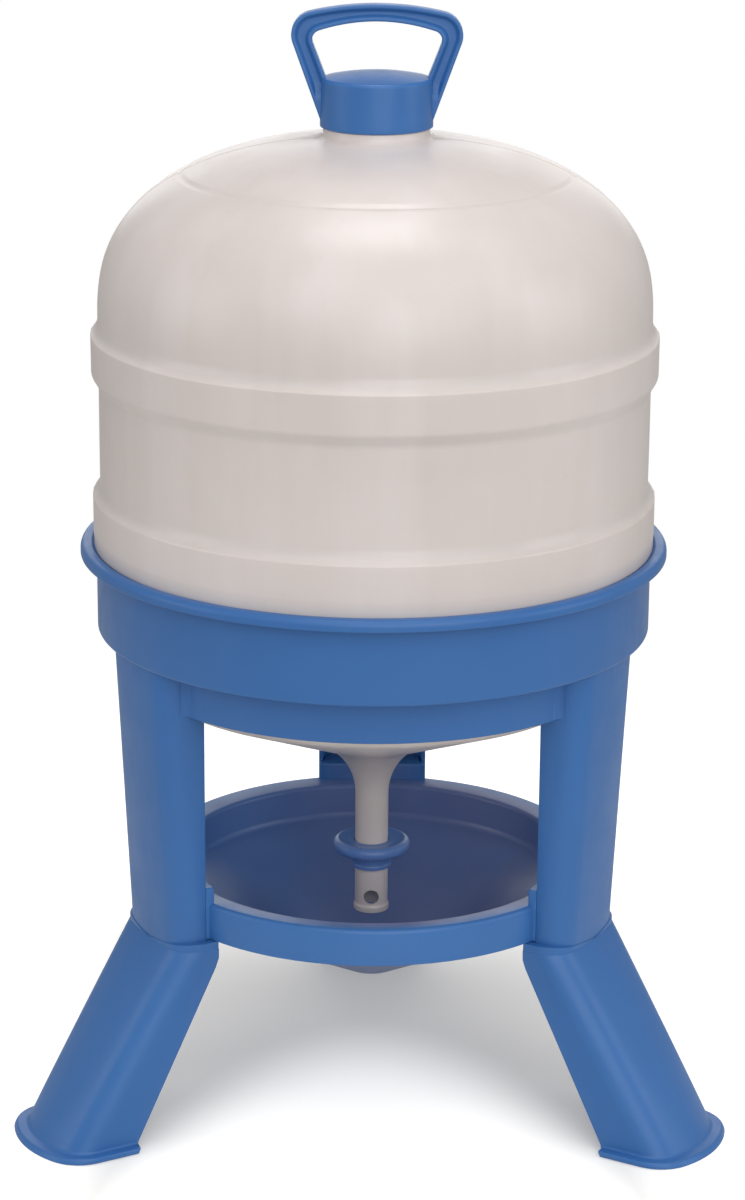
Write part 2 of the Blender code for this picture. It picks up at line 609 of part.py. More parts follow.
def tank_inside(collar_top_z):
    """Inner line of the tank from the mouth of its neck down to the end of the outlet tube."""
    wall = TANK_WALL
    line = [(NECK_BORE_RADIUS, collar_top_z + NECK_HEIGHT)]
    line += dome_line(wall, NECK_BORE_RADIUS, TANK_RADIUS, 6)
    line += [(BAND_RADIUS - wall, UPPER_BAND_TOP_Z), (BAND_RADIUS - wall, UPPER_BAND_Z),
             (TANK_RADIUS - wall, UPPER_BAND_Z - BAND_LOWER_SLOPE), (TANK_RADIUS - wall, WAIST_Z),
             (BAND_RADIUS - wall, LOWER_BAND_TOP_Z), (BAND_RADIUS - wall, LOWER_BAND_Z + wall)]
    lift = wall / math.cos(math.radians(CONE_SLOPE))
    bore = TUBE_RADIUS - TUBE_WALL
    side = TANK_RING_RADIUS - wall
    bottom = TANK_BOTTOM_RADIUS - wall
    line += [(side, TANK_SEAT_Z + wall), (side, RING_STEP_Z + TANK_STEP_RISE + wall),
             (bottom, RING_STEP_Z + TANK_STEP_PLAY + wall)]
    corners = [line[-1], (bottom, cone_height(bottom) + lift), (bore, cone_height(bore) + lift),
               (bore, TUBE_END_Z)]
    line += rounded_line(corners, [CONE_CORNER - wall, CONE_TUBE_FLARE + wall], [1, 4])
    line.append(corners[-1])
    return line


def make_tank(collar_top_z):
    """Blow-moulded tank, open at its neck and at the outlet tube."""
    location = Vector((0.0, AXIS_Y, TANK_SEAT_Z))
    profile = tank_outside(collar_top_z) + list(reversed(tank_inside(collar_top_z)))
    tank = turned("tank", profile, location)

    circle = arc((0.0, TUBE_END_Z + HOLE_HEIGHT), HOLE_RADIUS, 0.0, 360.0, 16)[:-1]
    hole = lofted("outlet_hole", [[(x, AXIS_Y + depth, z) for x, z in circle]
                                  for depth in (-2.0 * LIP_RADIUS, 0.0)], location)
    combine(tank, hole, "DIFFERENCE")
    return tank


# Shut-off ring

def make_shutoff_ring():
    """Flanged sleeve on the outlet tube, pushed down over the outlet hole."""
    location = Vector((0.0, AXIS_Y, SHUTOFF_Z))
    bore = TUBE_RADIUS + SLEEVE_CLEARANCE
    sleeve = bore + SLEEVE_WALL
    base = SHUTOFF_Z
    top = base + SLEEVE_LENGTH
    low = top - FLANGE_THICKNESS
    profile = [(bore, base), (sleeve + SLEEVE_BEAD, base),
               (sleeve + SLEEVE_BEAD, base + SLEEVE_BEAD_HEIGHT),
               (sleeve, base + SLEEVE_BEAD_HEIGHT + 2.0 * SLEEVE_BEAD),
               (sleeve, low - SLEEVE_WALL), (sleeve + SLEEVE_WALL, low)]
    profile += arc((FLANGE_RADIUS - FLANGE_ROUNDING, low + FLANGE_ROUNDING), FLANGE_ROUNDING,
                   -90.0, 0.0, 3)
    profile += arc((FLANGE_RADIUS - FLANGE_ROUNDING, top - FLANGE_ROUNDING), FLANGE_ROUNDING,
                   0.0, 110.0, 3)
    profile += [(sleeve + SLEEVE_WALL, top - FLANGE_DISH), (bore, top - FLANGE_DISH)]
    return turned("shutoff_ring", profile, location, segments=CAP_SEGMENTS)


# Cap and gasket

def make_gasket(gasket_z):
    """Flat ring between the neck and the cap."""
    location = Vector((0.0, AXIS_Y, gasket_z))
    outer = CAP_BORE_RADIUS - GASKET_PLAY
    top = gasket_z + GASKET_THICKNESS
    profile = [(GASKET_INNER_RADIUS, gasket_z), (outer, gasket_z), (outer, top),
               (GASKET_INNER_RADIUS, top)]
    return turned("cap_gasket", profile, location, segments=CAP_SEGMENTS)


def handle_lines(base_z, start_z):
    """Right half of the handle: its outer and inner lines, both from the side bar up to the middle."""
    foot_z = base_z + HANDLE_ROOT
    top_z = base_z + HANDLE_HEIGHT
    foot = CAP_RADIUS - HANDLE_FOOT_INSET
    lines = []
    inner_spread = HANDLE_SPREAD - HANDLE_LEG_WIDENING
    for foot_x, spread, middle_z, arch, radius, steps in (
            (foot, HANDLE_SPREAD, top_z, HANDLE_ARCH, HANDLE_CORNER, 7),
            (foot - HANDLE_LEG, inner_spread, top_z - HANDLE_BAR, HANDLE_INNER_ARCH,
             HANDLE_INNER_CORNER, 4)):
        corner = (foot_x + spread, middle_z - arch)
        share = (start_z - foot_z) / (corner[1] - foot_z)
        start = (foot_x + (corner[0] - foot_x) * share, start_z)
        middle = (0.0, middle_z)
        lines.append([start] + rounded_corner(start, corner, middle, radius, steps) + [middle])
    return lines


def handle_band(outer, inner):
    """Closed outline of the whole handle from the lines of its right half."""
    left_outer = [(-x, z) for x, z in reversed(outer[:-1])]
    left_inner = [(-x, z) for x, z in inner]
    return outer + left_outer + left_inner + list(reversed(inner[:-1]))


def make_cap(base_z, seat_z):
    """Screw cap with a domed top and a grooved loop handle moulded on."""
    location = Vector((0.0, AXIS_Y, base_z))
    edge_z = seat_z + CAP_EDGE_THICKNESS
    crown_z = edge_z + CAP_CROWN
    crown_edge = CAP_RADIUS - CAP_TAPER - CAP_EDGE_ROUNDING
    crown_radius = (crown_edge ** 2 + CAP_CROWN ** 2) / (2.0 * CAP_CROWN)
    crown_angle = math.degrees(math.asin(crown_edge / crown_radius))
    profile = [(0.0, base_z), (CAP_RADIUS, base_z)]
    profile += arc((crown_edge, edge_z - CAP_EDGE_ROUNDING), CAP_EDGE_ROUNDING, 0.0, 90.0, 3)
    crown = arc((0.0, crown_z - crown_radius), crown_radius, 90.0 - crown_angle, 90.0, 4)
    profile += crown[1:-1] + [(0.0, crown_z)]
    cap = turned("cap", profile, location, closed=False, segments=CAP_SEGMENTS)

    outer, inner = handle_lines(base_z, base_z + HANDLE_ROOT)
    half = HANDLE_DEPTH / 2.0
    handle = lofted("handle", [[(x, AXIS_Y + depth, z) for x, z in handle_band(outer, inner)]
                               for depth in (-half, half)], location)
    combine(cap, handle, "UNION")

    outer, inner = handle_lines(base_z, base_z + HANDLE_RECESS_START)
    groove_band = handle_band(offset_path(outer, HANDLE_FLANGE), offset_path(inner, -HANDLE_FLANGE))
    for side, direction in (("front", -1.0), ("rear", 1.0)):
        depths = (direction * (half - HANDLE_RECESS), direction * (half + HANDLE_RECESS))
        groove = lofted("handle_groove_" + side, [[(x, AXIS_Y + depth, z) for x, z in groove_band]
                                                  for depth in depths], location)
        combine(cap, groove, "DIFFERENCE")

    below_z = base_z - CAP_WALL
    ceiling_z = crown_z - CAP_TOP_THICKNESS
    bore = [(0.0, below_z), (CAP_BORE_RADIUS, below_z), (CAP_BORE_RADIUS, seat_z),
            (GASKET_INNER_RADIUS, seat_z),
            (GASKET_INNER_RADIUS / 2.0, (seat_z + 3.0 * ceiling_z) / 4.0), (0.0, ceiling_z)]
    cavity = turned("cap_bore", bore, location, closed=False, segments=CAP_SEGMENTS)
    combine(cap, cavity, "DIFFERENCE")
    return cap


def build():
    """Make every piece, give it its material and hang it on the piece that carries it."""
    for item in list(bpy.data.objects):
        bpy.data.objects.remove(item, do_unlink=True)

    blue = (0.068, 0.170, 0.420)
    looks = {
        "tank": material("tank_polyethylene", (0.72, 0.68, 0.66), 0.38, 0.92),
        "cap": material("cap_blue", blue, 0.36),
        "cap_gasket": material("gasket_rubber", (0.025, 0.025, 0.027), 0.7),
        "shutoff_ring": material("shutoff_blue", (0.060, 0.150, 0.380), 0.38),
        "stand": material("stand_blue", blue, 0.36),
        "trough": material("trough_blue", blue, 0.36),
        "foot_left": material("foot_left_blue", blue, 0.36),
        "foot_right": material("foot_right_blue", blue, 0.36),
        "foot_back": material("foot_back_blue", blue, 0.36),
    }
    collar_top_z = dome_line(0.0, COLLAR_RADIUS, TANK_RADIUS, 1)[0][1] + COLLAR_RISE
    gasket_z = collar_top_z + NECK_HEIGHT + GAP
    cap_seat_z = gasket_z + GASKET_THICKNESS + GAP
    pieces = {
        "trough": make_trough(),
        "stand": make_stand(),
        "tank": make_tank(collar_top_z),
        "shutoff_ring": make_shutoff_ring(),
        "cap_gasket": make_gasket(gasket_z),
        "cap": make_cap(collar_top_z + GAP, cap_seat_z),
    }
    for side in LEG_ANGLES:
        pieces["foot_" + side] = make_foot(side)

    centre = bpy.data.objects.new("drinker", None)
    bpy.context.scene.collection.objects.link(centre)
    carriers = {"stand": "trough", "tank": "stand", "shutoff_ring": "tank", "cap_gasket": "tank",
                "cap": "cap_gasket"}
    bpy.context.view_layer.update()
    for name, piece in pieces.items():
        piece.data.materials.append(looks[name])
        carrier = pieces.get(carriers.get(name), centre)
        piece.parent = carrier
        piece.matrix_parent_inverse = carrier.matrix_world.inverted()


build()
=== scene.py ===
# Poultry drinker, the looks. Metres, +Z up, the front towards -Y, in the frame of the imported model.
import math

import bmesh
import bpy
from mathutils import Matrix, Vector, noise


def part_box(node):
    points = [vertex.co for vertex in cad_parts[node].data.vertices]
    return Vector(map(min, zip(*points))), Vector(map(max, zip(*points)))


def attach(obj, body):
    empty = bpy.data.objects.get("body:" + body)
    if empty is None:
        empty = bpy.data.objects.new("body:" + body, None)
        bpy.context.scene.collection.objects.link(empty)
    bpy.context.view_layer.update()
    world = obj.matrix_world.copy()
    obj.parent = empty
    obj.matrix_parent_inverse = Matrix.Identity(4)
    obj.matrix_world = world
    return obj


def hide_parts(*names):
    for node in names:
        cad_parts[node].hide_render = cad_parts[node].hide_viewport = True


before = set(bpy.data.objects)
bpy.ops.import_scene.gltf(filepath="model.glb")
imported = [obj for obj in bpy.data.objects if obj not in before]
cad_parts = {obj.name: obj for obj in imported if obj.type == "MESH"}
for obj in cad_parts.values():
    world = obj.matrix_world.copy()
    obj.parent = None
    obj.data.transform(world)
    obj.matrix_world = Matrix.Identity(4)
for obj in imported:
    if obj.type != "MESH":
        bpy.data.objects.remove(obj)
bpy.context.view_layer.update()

tank_low, tank_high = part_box("tank")
stand_low, stand_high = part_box("stand")
trough_low, trough_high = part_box("trough")
cap_low, cap_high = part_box("cap")
shutoff_low, shutoff_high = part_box("shutoff_ring")
foot_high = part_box("foot_back")[1]

AXIS_Y = (tank_low.y + tank_high.y) / 2.0
GAP = 0.0003  # between pieces that rest on each other
PLUG_CLEARANCE = 0.0005
SHARP_ANGLE = 32.0  # degrees, edges with a larger angle are shaded sharp
LEG_ANGLES = {"left": -150.0, "right": -30.0, "back": 90.0}

# Tank
TANK_SEGMENTS = 256
BAND_RADIUS = (tank_high.x - tank_low.x) / 2.0
BAND_HEIGHT = 0.0047
TANK_RADIUS = BAND_RADIUS - BAND_HEIGHT
TANK_WALL = 0.0022
TANK_WAVE = 0.00016  # unevenness of the blown wall
TANK_WAVE_LENGTH = 0.055
TANK_RIPPLE = (0.4, 2.7)  # strength and frequency of the finer wave on it
RING_TOP_Z = stand_high.z
ROLL_TOP_Z = RING_TOP_Z - 0.0010  # crest of the ring's rolled rim
SEAT_DEPTH = 0.0024  # depth of the tank's seat below the solid's ring
TANK_SEAT_Z = RING_TOP_Z - SEAT_DEPTH + GAP
SEAT_WIDTH = 0.0042
LOWER_BAND_Z = RING_TOP_Z + GAP + 0.0073
LOWER_BAND_TOP_Z = LOWER_BAND_Z + 0.0237
BAND_UPPER_SLOPE = 0.0125
BAND_LOWER_SLOPE = 0.0078
WAIST_Z = LOWER_BAND_TOP_Z + BAND_UPPER_SLOPE
UPPER_BAND_Z = WAIST_Z + 0.0678
UPPER_BAND_TOP_Z = UPPER_BAND_Z + 0.0255
DOME_BASE_Z = UPPER_BAND_TOP_Z + BAND_UPPER_SLOPE
DOME_RISE = 0.1135
DOME_EXPONENT = 2.37
BAND_EDGE_ROUNDING = 0.0017  # outer edge at the band's top
BAND_EDGE_DROP = 0.0012  # that edge's centre below the band's top
BAND_FLARE_TURN = 48.0  # degrees by which the wall flares out above the band
BAND_ROUNDING = 0.0054
BAND_FOOT_ROUNDING = 0.0075
CROWN_GROOVE_RADIUS = 0.1250
CROWN_GROOVE_WIDTH = 0.0064
CROWN_GROOVE_DEPTH = 0.0009
NECK_TOP_Z = tank_high.z
NECK_RADIUS = 0.0315
MOUTH_ROUNDING = 0.0006
CAP_DROP = 0.0014  # the cap's foot below that of its solid
COLLAR_TOP_Z = cap_low.z - CAP_DROP - GAP
COLLAR_RADIUS = 0.0340
COLLAR_EDGE_ROUNDING = 0.0008
COLLAR_FILLET = 0.0045
THREAD_DEPTH = 0.0013
THREAD_PITCH = 0.0060
THREAD_TURNS = 2.2
THREAD_STEPS = 72  # in one turn
THREAD_START = 0.0045  # above the collar
THREAD_START_ANGLE = 40.0  # degrees
THREAD_FADE = 12.0  # parts of its length, of which the first and the last fade
THREAD_ROOT = 0.0006  # depth of its root in the neck
THREAD_HALF_WIDTHS = (0.0017, 0.0015, 0.0006)  # at its root, low on its flank and near its crest
TUBE_END_Z = tank_low.z
TUBE_RADIUS = 0.0111
TUBE_WALL = 0.0020
LIP_STANDOUT = 0.0008
LIP_HEIGHT = 0.0052
LIP_FILLET = 0.0010
LIP_ROUNDING = 0.0006
HOLE_RADIUS = 0.0051
HOLE_HEIGHT = 0.0112
CONE_SLOPE = 22.15  # degrees
CONE_CORNER = 0.0120
CONE_TUBE_FLARE = 0.0400
PARTING_HEIGHT = 0.00030
PARTING_WIDTH = 0.0011
PARTING_ROOT = 0.0006  # depth of its root in the wall
PARTING_SHOULDER = (0.6, 0.55)  # where its sides bend, as shares of height and half width
PARTING_WEB = (0.022, 0.0016, 0.0006)  # length, height and half of the extra width beside the neck

# Stand
RING_SEGMENTS = 240
RIM_RADIUS = (stand_high.x - stand_low.x) / 2.0
RING_WALL = 0.0030
RING_INNER_RADIUS = TANK_RADIUS
RING_RADIUS = RING_INNER_RADIUS + RING_WALL
RING_HEIGHT = 0.0594
RING_BASE_Z = RING_TOP_Z - RING_HEIGHT
RING_STEP_Z = RING_BASE_Z + RING_WALL
RING_EDGE_ROUNDING = 0.0024
SEAT_PLAY = 0.0004
ROLL_SLOPE = 0.0016  # width of the slope from the seat up to the roll
ROLL_ROUNDING = 0.0012
RIM_DROP = 0.0084
RIM_THICKNESS = 0.0028
RIM_ROUNDING = 0.0042
RIM_EDGE_ROUNDING = 0.0008
RIM_INNER_ROUNDING = 0.0012
RIM_WALL_FILLET = 0.0018
RING_INNER_FILLET = 0.0012
SKIRT_RADIUS = RING_RADIUS - 0.0191
SKIRT_INNER_RADIUS = SKIRT_RADIUS - RING_WALL
SKIRT_END_Z = RING_BASE_Z - 0.0302
CONE_EDGE_Z = RING_BASE_Z - 0.0363
SKIRT_FILLET = 0.0030
SKIRT_EDGE_ROUNDING = 0.0010
COLUMN_FOOT_Z = stand_low.z
COLUMN_HALF_WIDTH = 0.0380
COLUMN_CORNER = 0.0175
COLUMN_FACE_RADIUS = 0.160
COLUMN_WALL = 0.0030
COLUMN_EDGE_ROUNDING = 0.0005
COLUMN_SKIRT_FILLET = 0.0060
SKIRT_FILLET_ROOT = 0.0014  # depth of that fillet's root in column and skirt
SKIRT_FILLET_CORNER = 0.975  # place of its hidden corner, as a share of the skirt's radius
COLUMN_FOOT_ROUNDING = 0.0003
COLUMN_STEPS = 24
TANK_PLAY = 0.0012  # between the tank's bottom and the columns

# The tank's lower end, inside the stand
TANK_SIDE_RADIUS = TANK_RADIUS - 0.0020
TANK_BOTTOM_RADIUS = SKIRT_INNER_RADIUS - 0.0075
STEP_TOP_Z = RING_STEP_Z + 0.0120
STEP_FOOT_Z = RING_STEP_Z + 0.0010
STEP_ROUNDING = 0.00525

# Trough
TROUGH_RADIUS = 0.1474
TONGUE_RISE = 0.0135
TROUGH_RIM_Z = trough_high.z - TONGUE_RISE
TROUGH_WALL_HEIGHT = 0.0248
TROUGH_SEAT_Z = TROUGH_RIM_Z - TROUGH_WALL_HEIGHT
TROUGH_RIM_INNER = TROUGH_RADIUS - 0.0176
TROUGH_RIM_FALL = 0.0017
TROUGH_RIM_ROUNDING = 0.0030
TROUGH_FOOT_ROUNDING = 0.0008
TROUGH_UNDER_ROUNDING = 0.0010
TROUGH_WALL = 0.0028
BOWL_RADIUS = TROUGH_RIM_INNER - 0.0012
BOWL_EDGE_Z = TROUGH_RIM_Z - TROUGH_RIM_FALL - 0.0227
BOWL_FILLET = 0.0060
TROUGH_FLOOR_SLOPE = 27.3  # degrees
SUMP_RADIUS = 0.0150
SUMP_FILLET = 0.0120
SUMP_Z = trough_low.z + TROUGH_WALL
TONGUE_WALL = 0.0025
TONGUE_EDGE_ROUNDING = 0.0010
TONGUE_LIFT = 0.0002  # of its foot above the trough wall's foot

# Columns, and the tongues that they plug over
COLUMN_INNER = TROUGH_RADIUS - 0.0023
COLUMN_FOOT_REACH = TROUGH_RADIUS + 0.0214
COLUMN_HEAD_REACH = RING_RADIUS - 0.0029
COLUMN_FOOT_SIZE = (COLUMN_HALF_WIDTH, COLUMN_FOOT_REACH, COLUMN_CORNER, COLUMN_FACE_RADIUS)
PLUG_INSET = COLUMN_WALL + PLUG_CLEARANCE
TONGUE_INNER = TROUGH_RADIUS - 0.0087
TONGUE_TOP_Z = trough_high.z - 0.0028
SHOULDER_INSET = 0.0002
SHOULDER_ROUNDING = 0.0006

# Cap
CAP_SEGMENTS = 192
CAP_BASE_Z = cap_low.z - CAP_DROP
CAP_RADIUS = (cap_high.y - cap_low.y) / 2.0
CAP_WALL = 0.0026
CAP_BORE_RADIUS = CAP_RADIUS - CAP_WALL
CAP_TAPER = 0.0006
CAP_CROWN = 0.0036
CAP_EDGE_ROUNDING = 0.0026
CAP_EDGE_TURN = 74.0  # degrees from the cap's side up to its crown
CAP_FOOT_ROUNDING = 0.0007
CAP_EDGE_THICKNESS = 0.0029
CAP_TOP_THICKNESS = 0.0030
GASKET_LAP_RADIUS = 0.0270
CAP_SEAT_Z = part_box("cap_gasket")[1].z + GAP
HANDLE_TOP_Z = cap_high.z
HANDLE_DEPTH = 0.0120
HANDLE_RECESS = 0.0032
HANDLE_BANK = 0.0021  # width of the groove's sloping side
HANDLE_FLANGE = 0.0022
HANDLE_BAR = 0.0105
HANDLE_ARCH = 0.0092
HANDLE_INNER_ARCH = 0.0080
HANDLE_SPREAD = 0.0231
HANDLE_LEG = 0.0137
HANDLE_LEG_WIDENING = 0.0022
HANDLE_FOOT_RADIUS = CAP_RADIUS - 0.0004
HANDLE_ROOT_Z = CAP_BASE_Z + 0.0042
HANDLE_CORNER = 0.0147
HANDLE_INNER_CORNER = 0.0062
HANDLE_EDGE_ROUNDING = 0.0008
HANDLE_TOUCH = 1.15  # from the bar's end to its tangent point, in corner radii
HANDLE_STEPS = (24, 22, 20)  # along the side, round the corner and along the top bar
HANDLE_RECESS_Z = CAP_BASE_Z + 0.0195
HANDLE_RECESS_RUN = 0.0095  # length over which the groove deepens

# Shut-off ring
SLEEVE_CLEARANCE = 0.0004
SLEEVE_WALL = 0.0016
SLEEVE_BEAD = 0.0004
SLEEVE_BEAD_HEIGHT = 0.0022
SLEEVE_EDGE_ROUNDING = 0.0004
SLEEVE_BORE_ROUNDING = 0.0005
SLEEVE_FILLET = 0.0020
FLANGE_RADIUS = (shutoff_high.x - shutoff_low.x) / 2.0
FLANGE_THICKNESS = 0.0086
FLANGE_ROUNDING = 0.0040
FLANGE_TURN = 115.0  # degrees from the flange's side over its upper edge
FLANGE_DISH = 0.0009
FLANGE_DISH_RIM = 0.0030
FLANGE_DISH_ROUNDING = 0.0040

# Feet
FOOT_TOP_Z = COLUMN_FOOT_Z - GAP
FOOT_PAD_Z = TROUGH_SEAT_Z - GAP
PEG_TOP_Z = TONGUE_TOP_Z - TONGUE_WALL - PLUG_CLEARANCE
PEG_WALL = 0.0025
FOOT_TOP_HALF_WIDTH = COLUMN_HALF_WIDTH + 0.0055
FOOT_TOP_REACH = COLUMN_FOOT_REACH + 0.0011
FOOT_TOP_INNER = TROUGH_RADIUS - 0.0129
FOOT_TOP_CORNER = 0.0200
FOOT_UPRIGHT = 0.0085  # height over which the inner edges stand upright
FOOT_TOP_ROUNDING = 0.0004
FOOT_TOP_SIZE = (FOOT_TOP_HALF_WIDTH, FOOT_TOP_REACH, FOOT_TOP_CORNER, COLUMN_FACE_RADIUS)
FOOT_STEPS = 20
FOOT_COLLAR_PLAY = 0.0002
FOOT_COLLAR_ROUNDING = 0.0003
FOOT_COLLAR_SHARE = 0.06  # height of the foot's collar in front, as a share of its sides
SOLE_LIP = 0.0074
FOOT_SOLE_REACH = foot_high.y - AXIS_Y - SOLE_LIP
FOOT_SOLE_INNER = FOOT_SOLE_REACH - 0.0539
FOOT_SOLE_HALF_WIDTH = 0.0395
FOOT_SOLE_CORNER = 0.0205
FOOT_SOLE_FACE_RADIUS = 0.0665
FOOT_SOLE_SIZE = (FOOT_SOLE_HALF_WIDTH, FOOT_SOLE_REACH, FOOT_SOLE_CORNER, FOOT_SOLE_FACE_RADIUS)
LEDGE_INNER = FOOT_TOP_INNER + (FOOT_SOLE_INNER - FOOT_TOP_INNER) * FOOT_UPRIGHT / FOOT_TOP_Z
FOOT_WALL = 0.0035
SOLE_LIP_THICKNESS = 0.0040
SOLE_LIP_ROUNDING = 0.0012
SOLE_LIP_FILLET = 0.0016
SOLE_LIP_INSET = 0.0010
PAD_INSET = 0.0002

# The camera, fitted to the photograph's frame of 745 by 1200 pixels
PHOTO_HEIGHT = 1200
CAMERA_DISTANCE = 2.155
CAMERA_HEIGHT = 0.9818
CAMERA_PITCH = 16.71  # degrees downwards
CAMERA_ROLL = 0.400  # degrees anticlockwise
CAMERA_FOCAL_PIXELS = 3404.0
CAMERA_CENTRE_X = 0.75  # pixels, the optical axis right of the picture's middle
SENSOR_LONG_SIDE = 36.0  # millimetres

# Surroundings, floor and lamps
SEEN_WHITE = (1.0, 1.0, 1.0, 1.0)
WORLD_TINT = (1.0, 0.98, 0.96, 1.0)
WORLD_STRENGTH = 0.40
FLOOR_RADIUS = 1.6
FLOOR_GAP = 0.0002  # below the soles
FLOOR_FADE = (0.55, 1.25)  # radii between which the floor goes over into the surroundings
FLOOR_LIFT = (0.18, 0.62)  # white added to the floor for the camera, in and beside the shadow
# The floor's shadow is partly painted: for the camera, less white is added in a soft zone behind and
# between the feet, which these bound.
SHADOW_FRONT_Y = 0.009  # front of the painted soft shadow behind the feet, from the axis
SHADOW_CURVE = 8.0  # how far the shadow's front bends forward towards the sides
SHADOW_SOFTNESS = (0.076, -0.069)
SHADOW_SIDES = (0.15, 0.23)
SHADOW_BACK = (0.17, 0.34)
LAMP_TARGET = (0.0, AXIS_Y, 0.40)
# Each soft lamp's azimuth from the front and elevation in degrees, distance, size and power
LAMPS = {
    "overhead": (0.0, 88.0, 2.0, (0.9, 0.9), 12.0),
    "key": (6.0, 42.0, 2.5, (3.4, 1.8), 24.0),
    "front": (13.0, 12.0, 3.0, (2.4, 1.6), 23.0),
    "side_left": (-75.0, 15.0, 2.5, (1.2, 1.4), 8.0),
    "side_right": (75.0, 15.0, 2.5, (1.2, 1.4), 9.0),
    "back": (0.0, 120.0, 2.3, (1.2, 0.8), 2.4),
    "back_low": (180.0, 14.0, 2.4, (2.2, 1.0), 9.0),
}


# Outlines

def between(first, last, share):
    """Value that lies a share of the way from one value to another."""
    return first + (last - first) * share


def arc(centre, radius, start, end, steps):
    """Points on an arc in a plane, with the angles in degrees and both ends included."""
    points = []
    for step in range(steps + 1):
        angle = math.radians(start + (end - start) * step / steps)
        points.append((centre[0] + radius * math.cos(angle), centre[1] + radius * math.sin(angle)))
    return points


def rounded_corner(before, corner, after, radius, steps):
    """Arc that rounds the corner of two straight lines."""
    point = Vector(corner)
    to_before = (Vector(before) - point).normalized()
    to_after = (Vector(after) - point).normalized()
    half_angle = to_before.angle(to_after) / 2.0
    centre = point + (to_before + to_after).normalized() * radius / math.sin(half_angle)
    first = point + to_before * radius / math.tan(half_angle) - centre
    last = point + to_after * radius / math.tan(half_angle) - centre
    start = math.degrees(math.atan2(first.y, first.x))
    sweep = math.degrees(math.atan2(last.y, last.x)) - start
    sweep = (sweep + 180.0) % 360.0 - 180.0
    return arc(centre, radius, start, start + sweep, steps)


def rounded_line(corners, radii, steps=8):
    """Line through corners, with each corner but the first and the last rounded."""
    line = []
    for index in range(1, len(corners) - 1):
        line += rounded_corner(corners[index - 1], corners[index], corners[index + 1],
                               radii[index - 1], steps)
    return line


def divided(line, longest):
    """The same line with extra points, so that no step is longer than a length."""
    points = [line[0]]
    for first, last in zip(line, line[1:]):
        count = max(1, math.ceil(math.dist(first, last) / longest))
        for step in range(1, count + 1):
            points.append(tuple(between(a, b, step / count) for a, b in zip(first, last)))
    return points


def channel_path(size, inner, grow=0.0):
    """Open path round a channel's section, from one inner edge over the curved face to the other.

    Its half width, reach, corner and face radius are each grown by a distance.
    """
    half_width, reach, corner, face_radius = (length + grow for length in size)
    centre = reach - face_radius
    across = half_width - corner
    along = centre + math.sqrt((face_radius - corner) ** 2 - across ** 2)
    turn = math.degrees(math.atan2(across, along - centre))
    half = [(inner, half_width)] + arc((along, across), corner, 90.0, turn, 12)
    face = arc((centre, 0.0), face_radius, turn, -turn, 16)
    return half + face[1:-1] + [(x, -y) for x, y in reversed(half)]


def around_leg(path, height, angle):
    """Points of a plan outline, given along and across a leg, set at the leg's angle."""
    cosine = math.cos(math.radians(angle))
    sine = math.sin(math.radians(angle))
    return [(x * cosine - y * sine, x * sine + y * cosine + AXIS_Y, height) for x, y in path]


# Meshes

def shaded(mesh):
    """The mesh shaded smooth but for its sharp edges."""
    mesh.shade_smooth()
    mesh.set_sharp_from_angle(angle=math.radians(SHARP_ANGLE))
    return mesh


def linked(name, data):
    """New object in the scene that shows a mesh, lamp or camera."""
    thing = bpy.data.objects.new(name, data)
    bpy.context.scene.collection.objects.link(thing)
    return thing


def new_object(name, mesh_data):
    """Object whose mesh faces point outwards and are shaded smooth."""
    bmesh.ops.remove_doubles(mesh_data, verts=mesh_data.verts, dist=1e-7)
    bmesh.ops.recalc_face_normals(mesh_data, faces=mesh_data.faces)
    mesh = bpy.data.meshes.new(name)
    mesh_data.to_mesh(mesh)
    mesh_data.free()
    return linked(name, shaded(mesh))


def turned(name, profile, segments, closed=True):
    """Solid of revolution about the drinker's axis. An open profile starts and ends on the axis."""
    mesh_data = bmesh.new()
    verts = [mesh_data.verts.new((radius, AXIS_Y, height)) for radius, height in profile]
    edges = [mesh_data.edges.new(pair) for pair in zip(verts, verts[1:])]
    if closed:
        edges.append(mesh_data.edges.new((verts[-1], verts[0])))
    bmesh.ops.spin(mesh_data, geom=verts + edges, cent=(0.0, AXIS_Y, 0.0), axis=(0.0, 0.0, 1.0),
                   angle=2.0 * math.pi, steps=segments, use_merge=True, use_duplicate=False)
    bmesh.ops.dissolve_degenerate(mesh_data, dist=1e-8, edges=mesh_data.edges)
    return new_object(name, mesh_data)


def lofted(name, sections):
    """Solid through closed sections of equally many points, with flat ends."""
    mesh_data = bmesh.new()
    loops = [[mesh_data.verts.new(point) for point in section] for section in sections]
    for lower, upper in zip(loops, loops[1:]):
        count = len(lower)
        for index in range(count):
            following = (index + 1) % count
            mesh_data.faces.new((lower[index], lower[following], upper[following], upper[index]))
    mesh_data.faces.new(list(reversed(loops[0])))
    mesh_data.faces.new(loops[-1])
    return new_object(name, mesh_data)


def leg_loft(name, angle, levels):
    """Solid at a leg's angle through plan outlines, each given with its height."""
    return lofted(name, [around_leg(path, height, angle) for path, height in levels])


def combined(piece, others, operation):
    """The piece joined with or cut by other solids, which are used up."""
    group = bpy.data.collections.new(piece.name + "_" + operation.lower())
    for other in others:
        group.objects.link(other)
    modifier = piece.modifiers.new("combine", "BOOLEAN")
    modifier.operation = operation
    modifier.solver = "EXACT"
    modifier.operand_type = "COLLECTION"
    modifier.collection = group
    bpy.context.view_layer.update()
    evaluated = piece.evaluated_get(bpy.context.evaluated_depsgraph_get())
    mesh = bpy.data.meshes.new_from_object(evaluated)
    piece.modifiers.clear()
    piece.data = shaded(mesh)
    for other in others:
        bpy.data.objects.remove(other, do_unlink=True)
    bpy.data.collections.remove(group)
    return piece


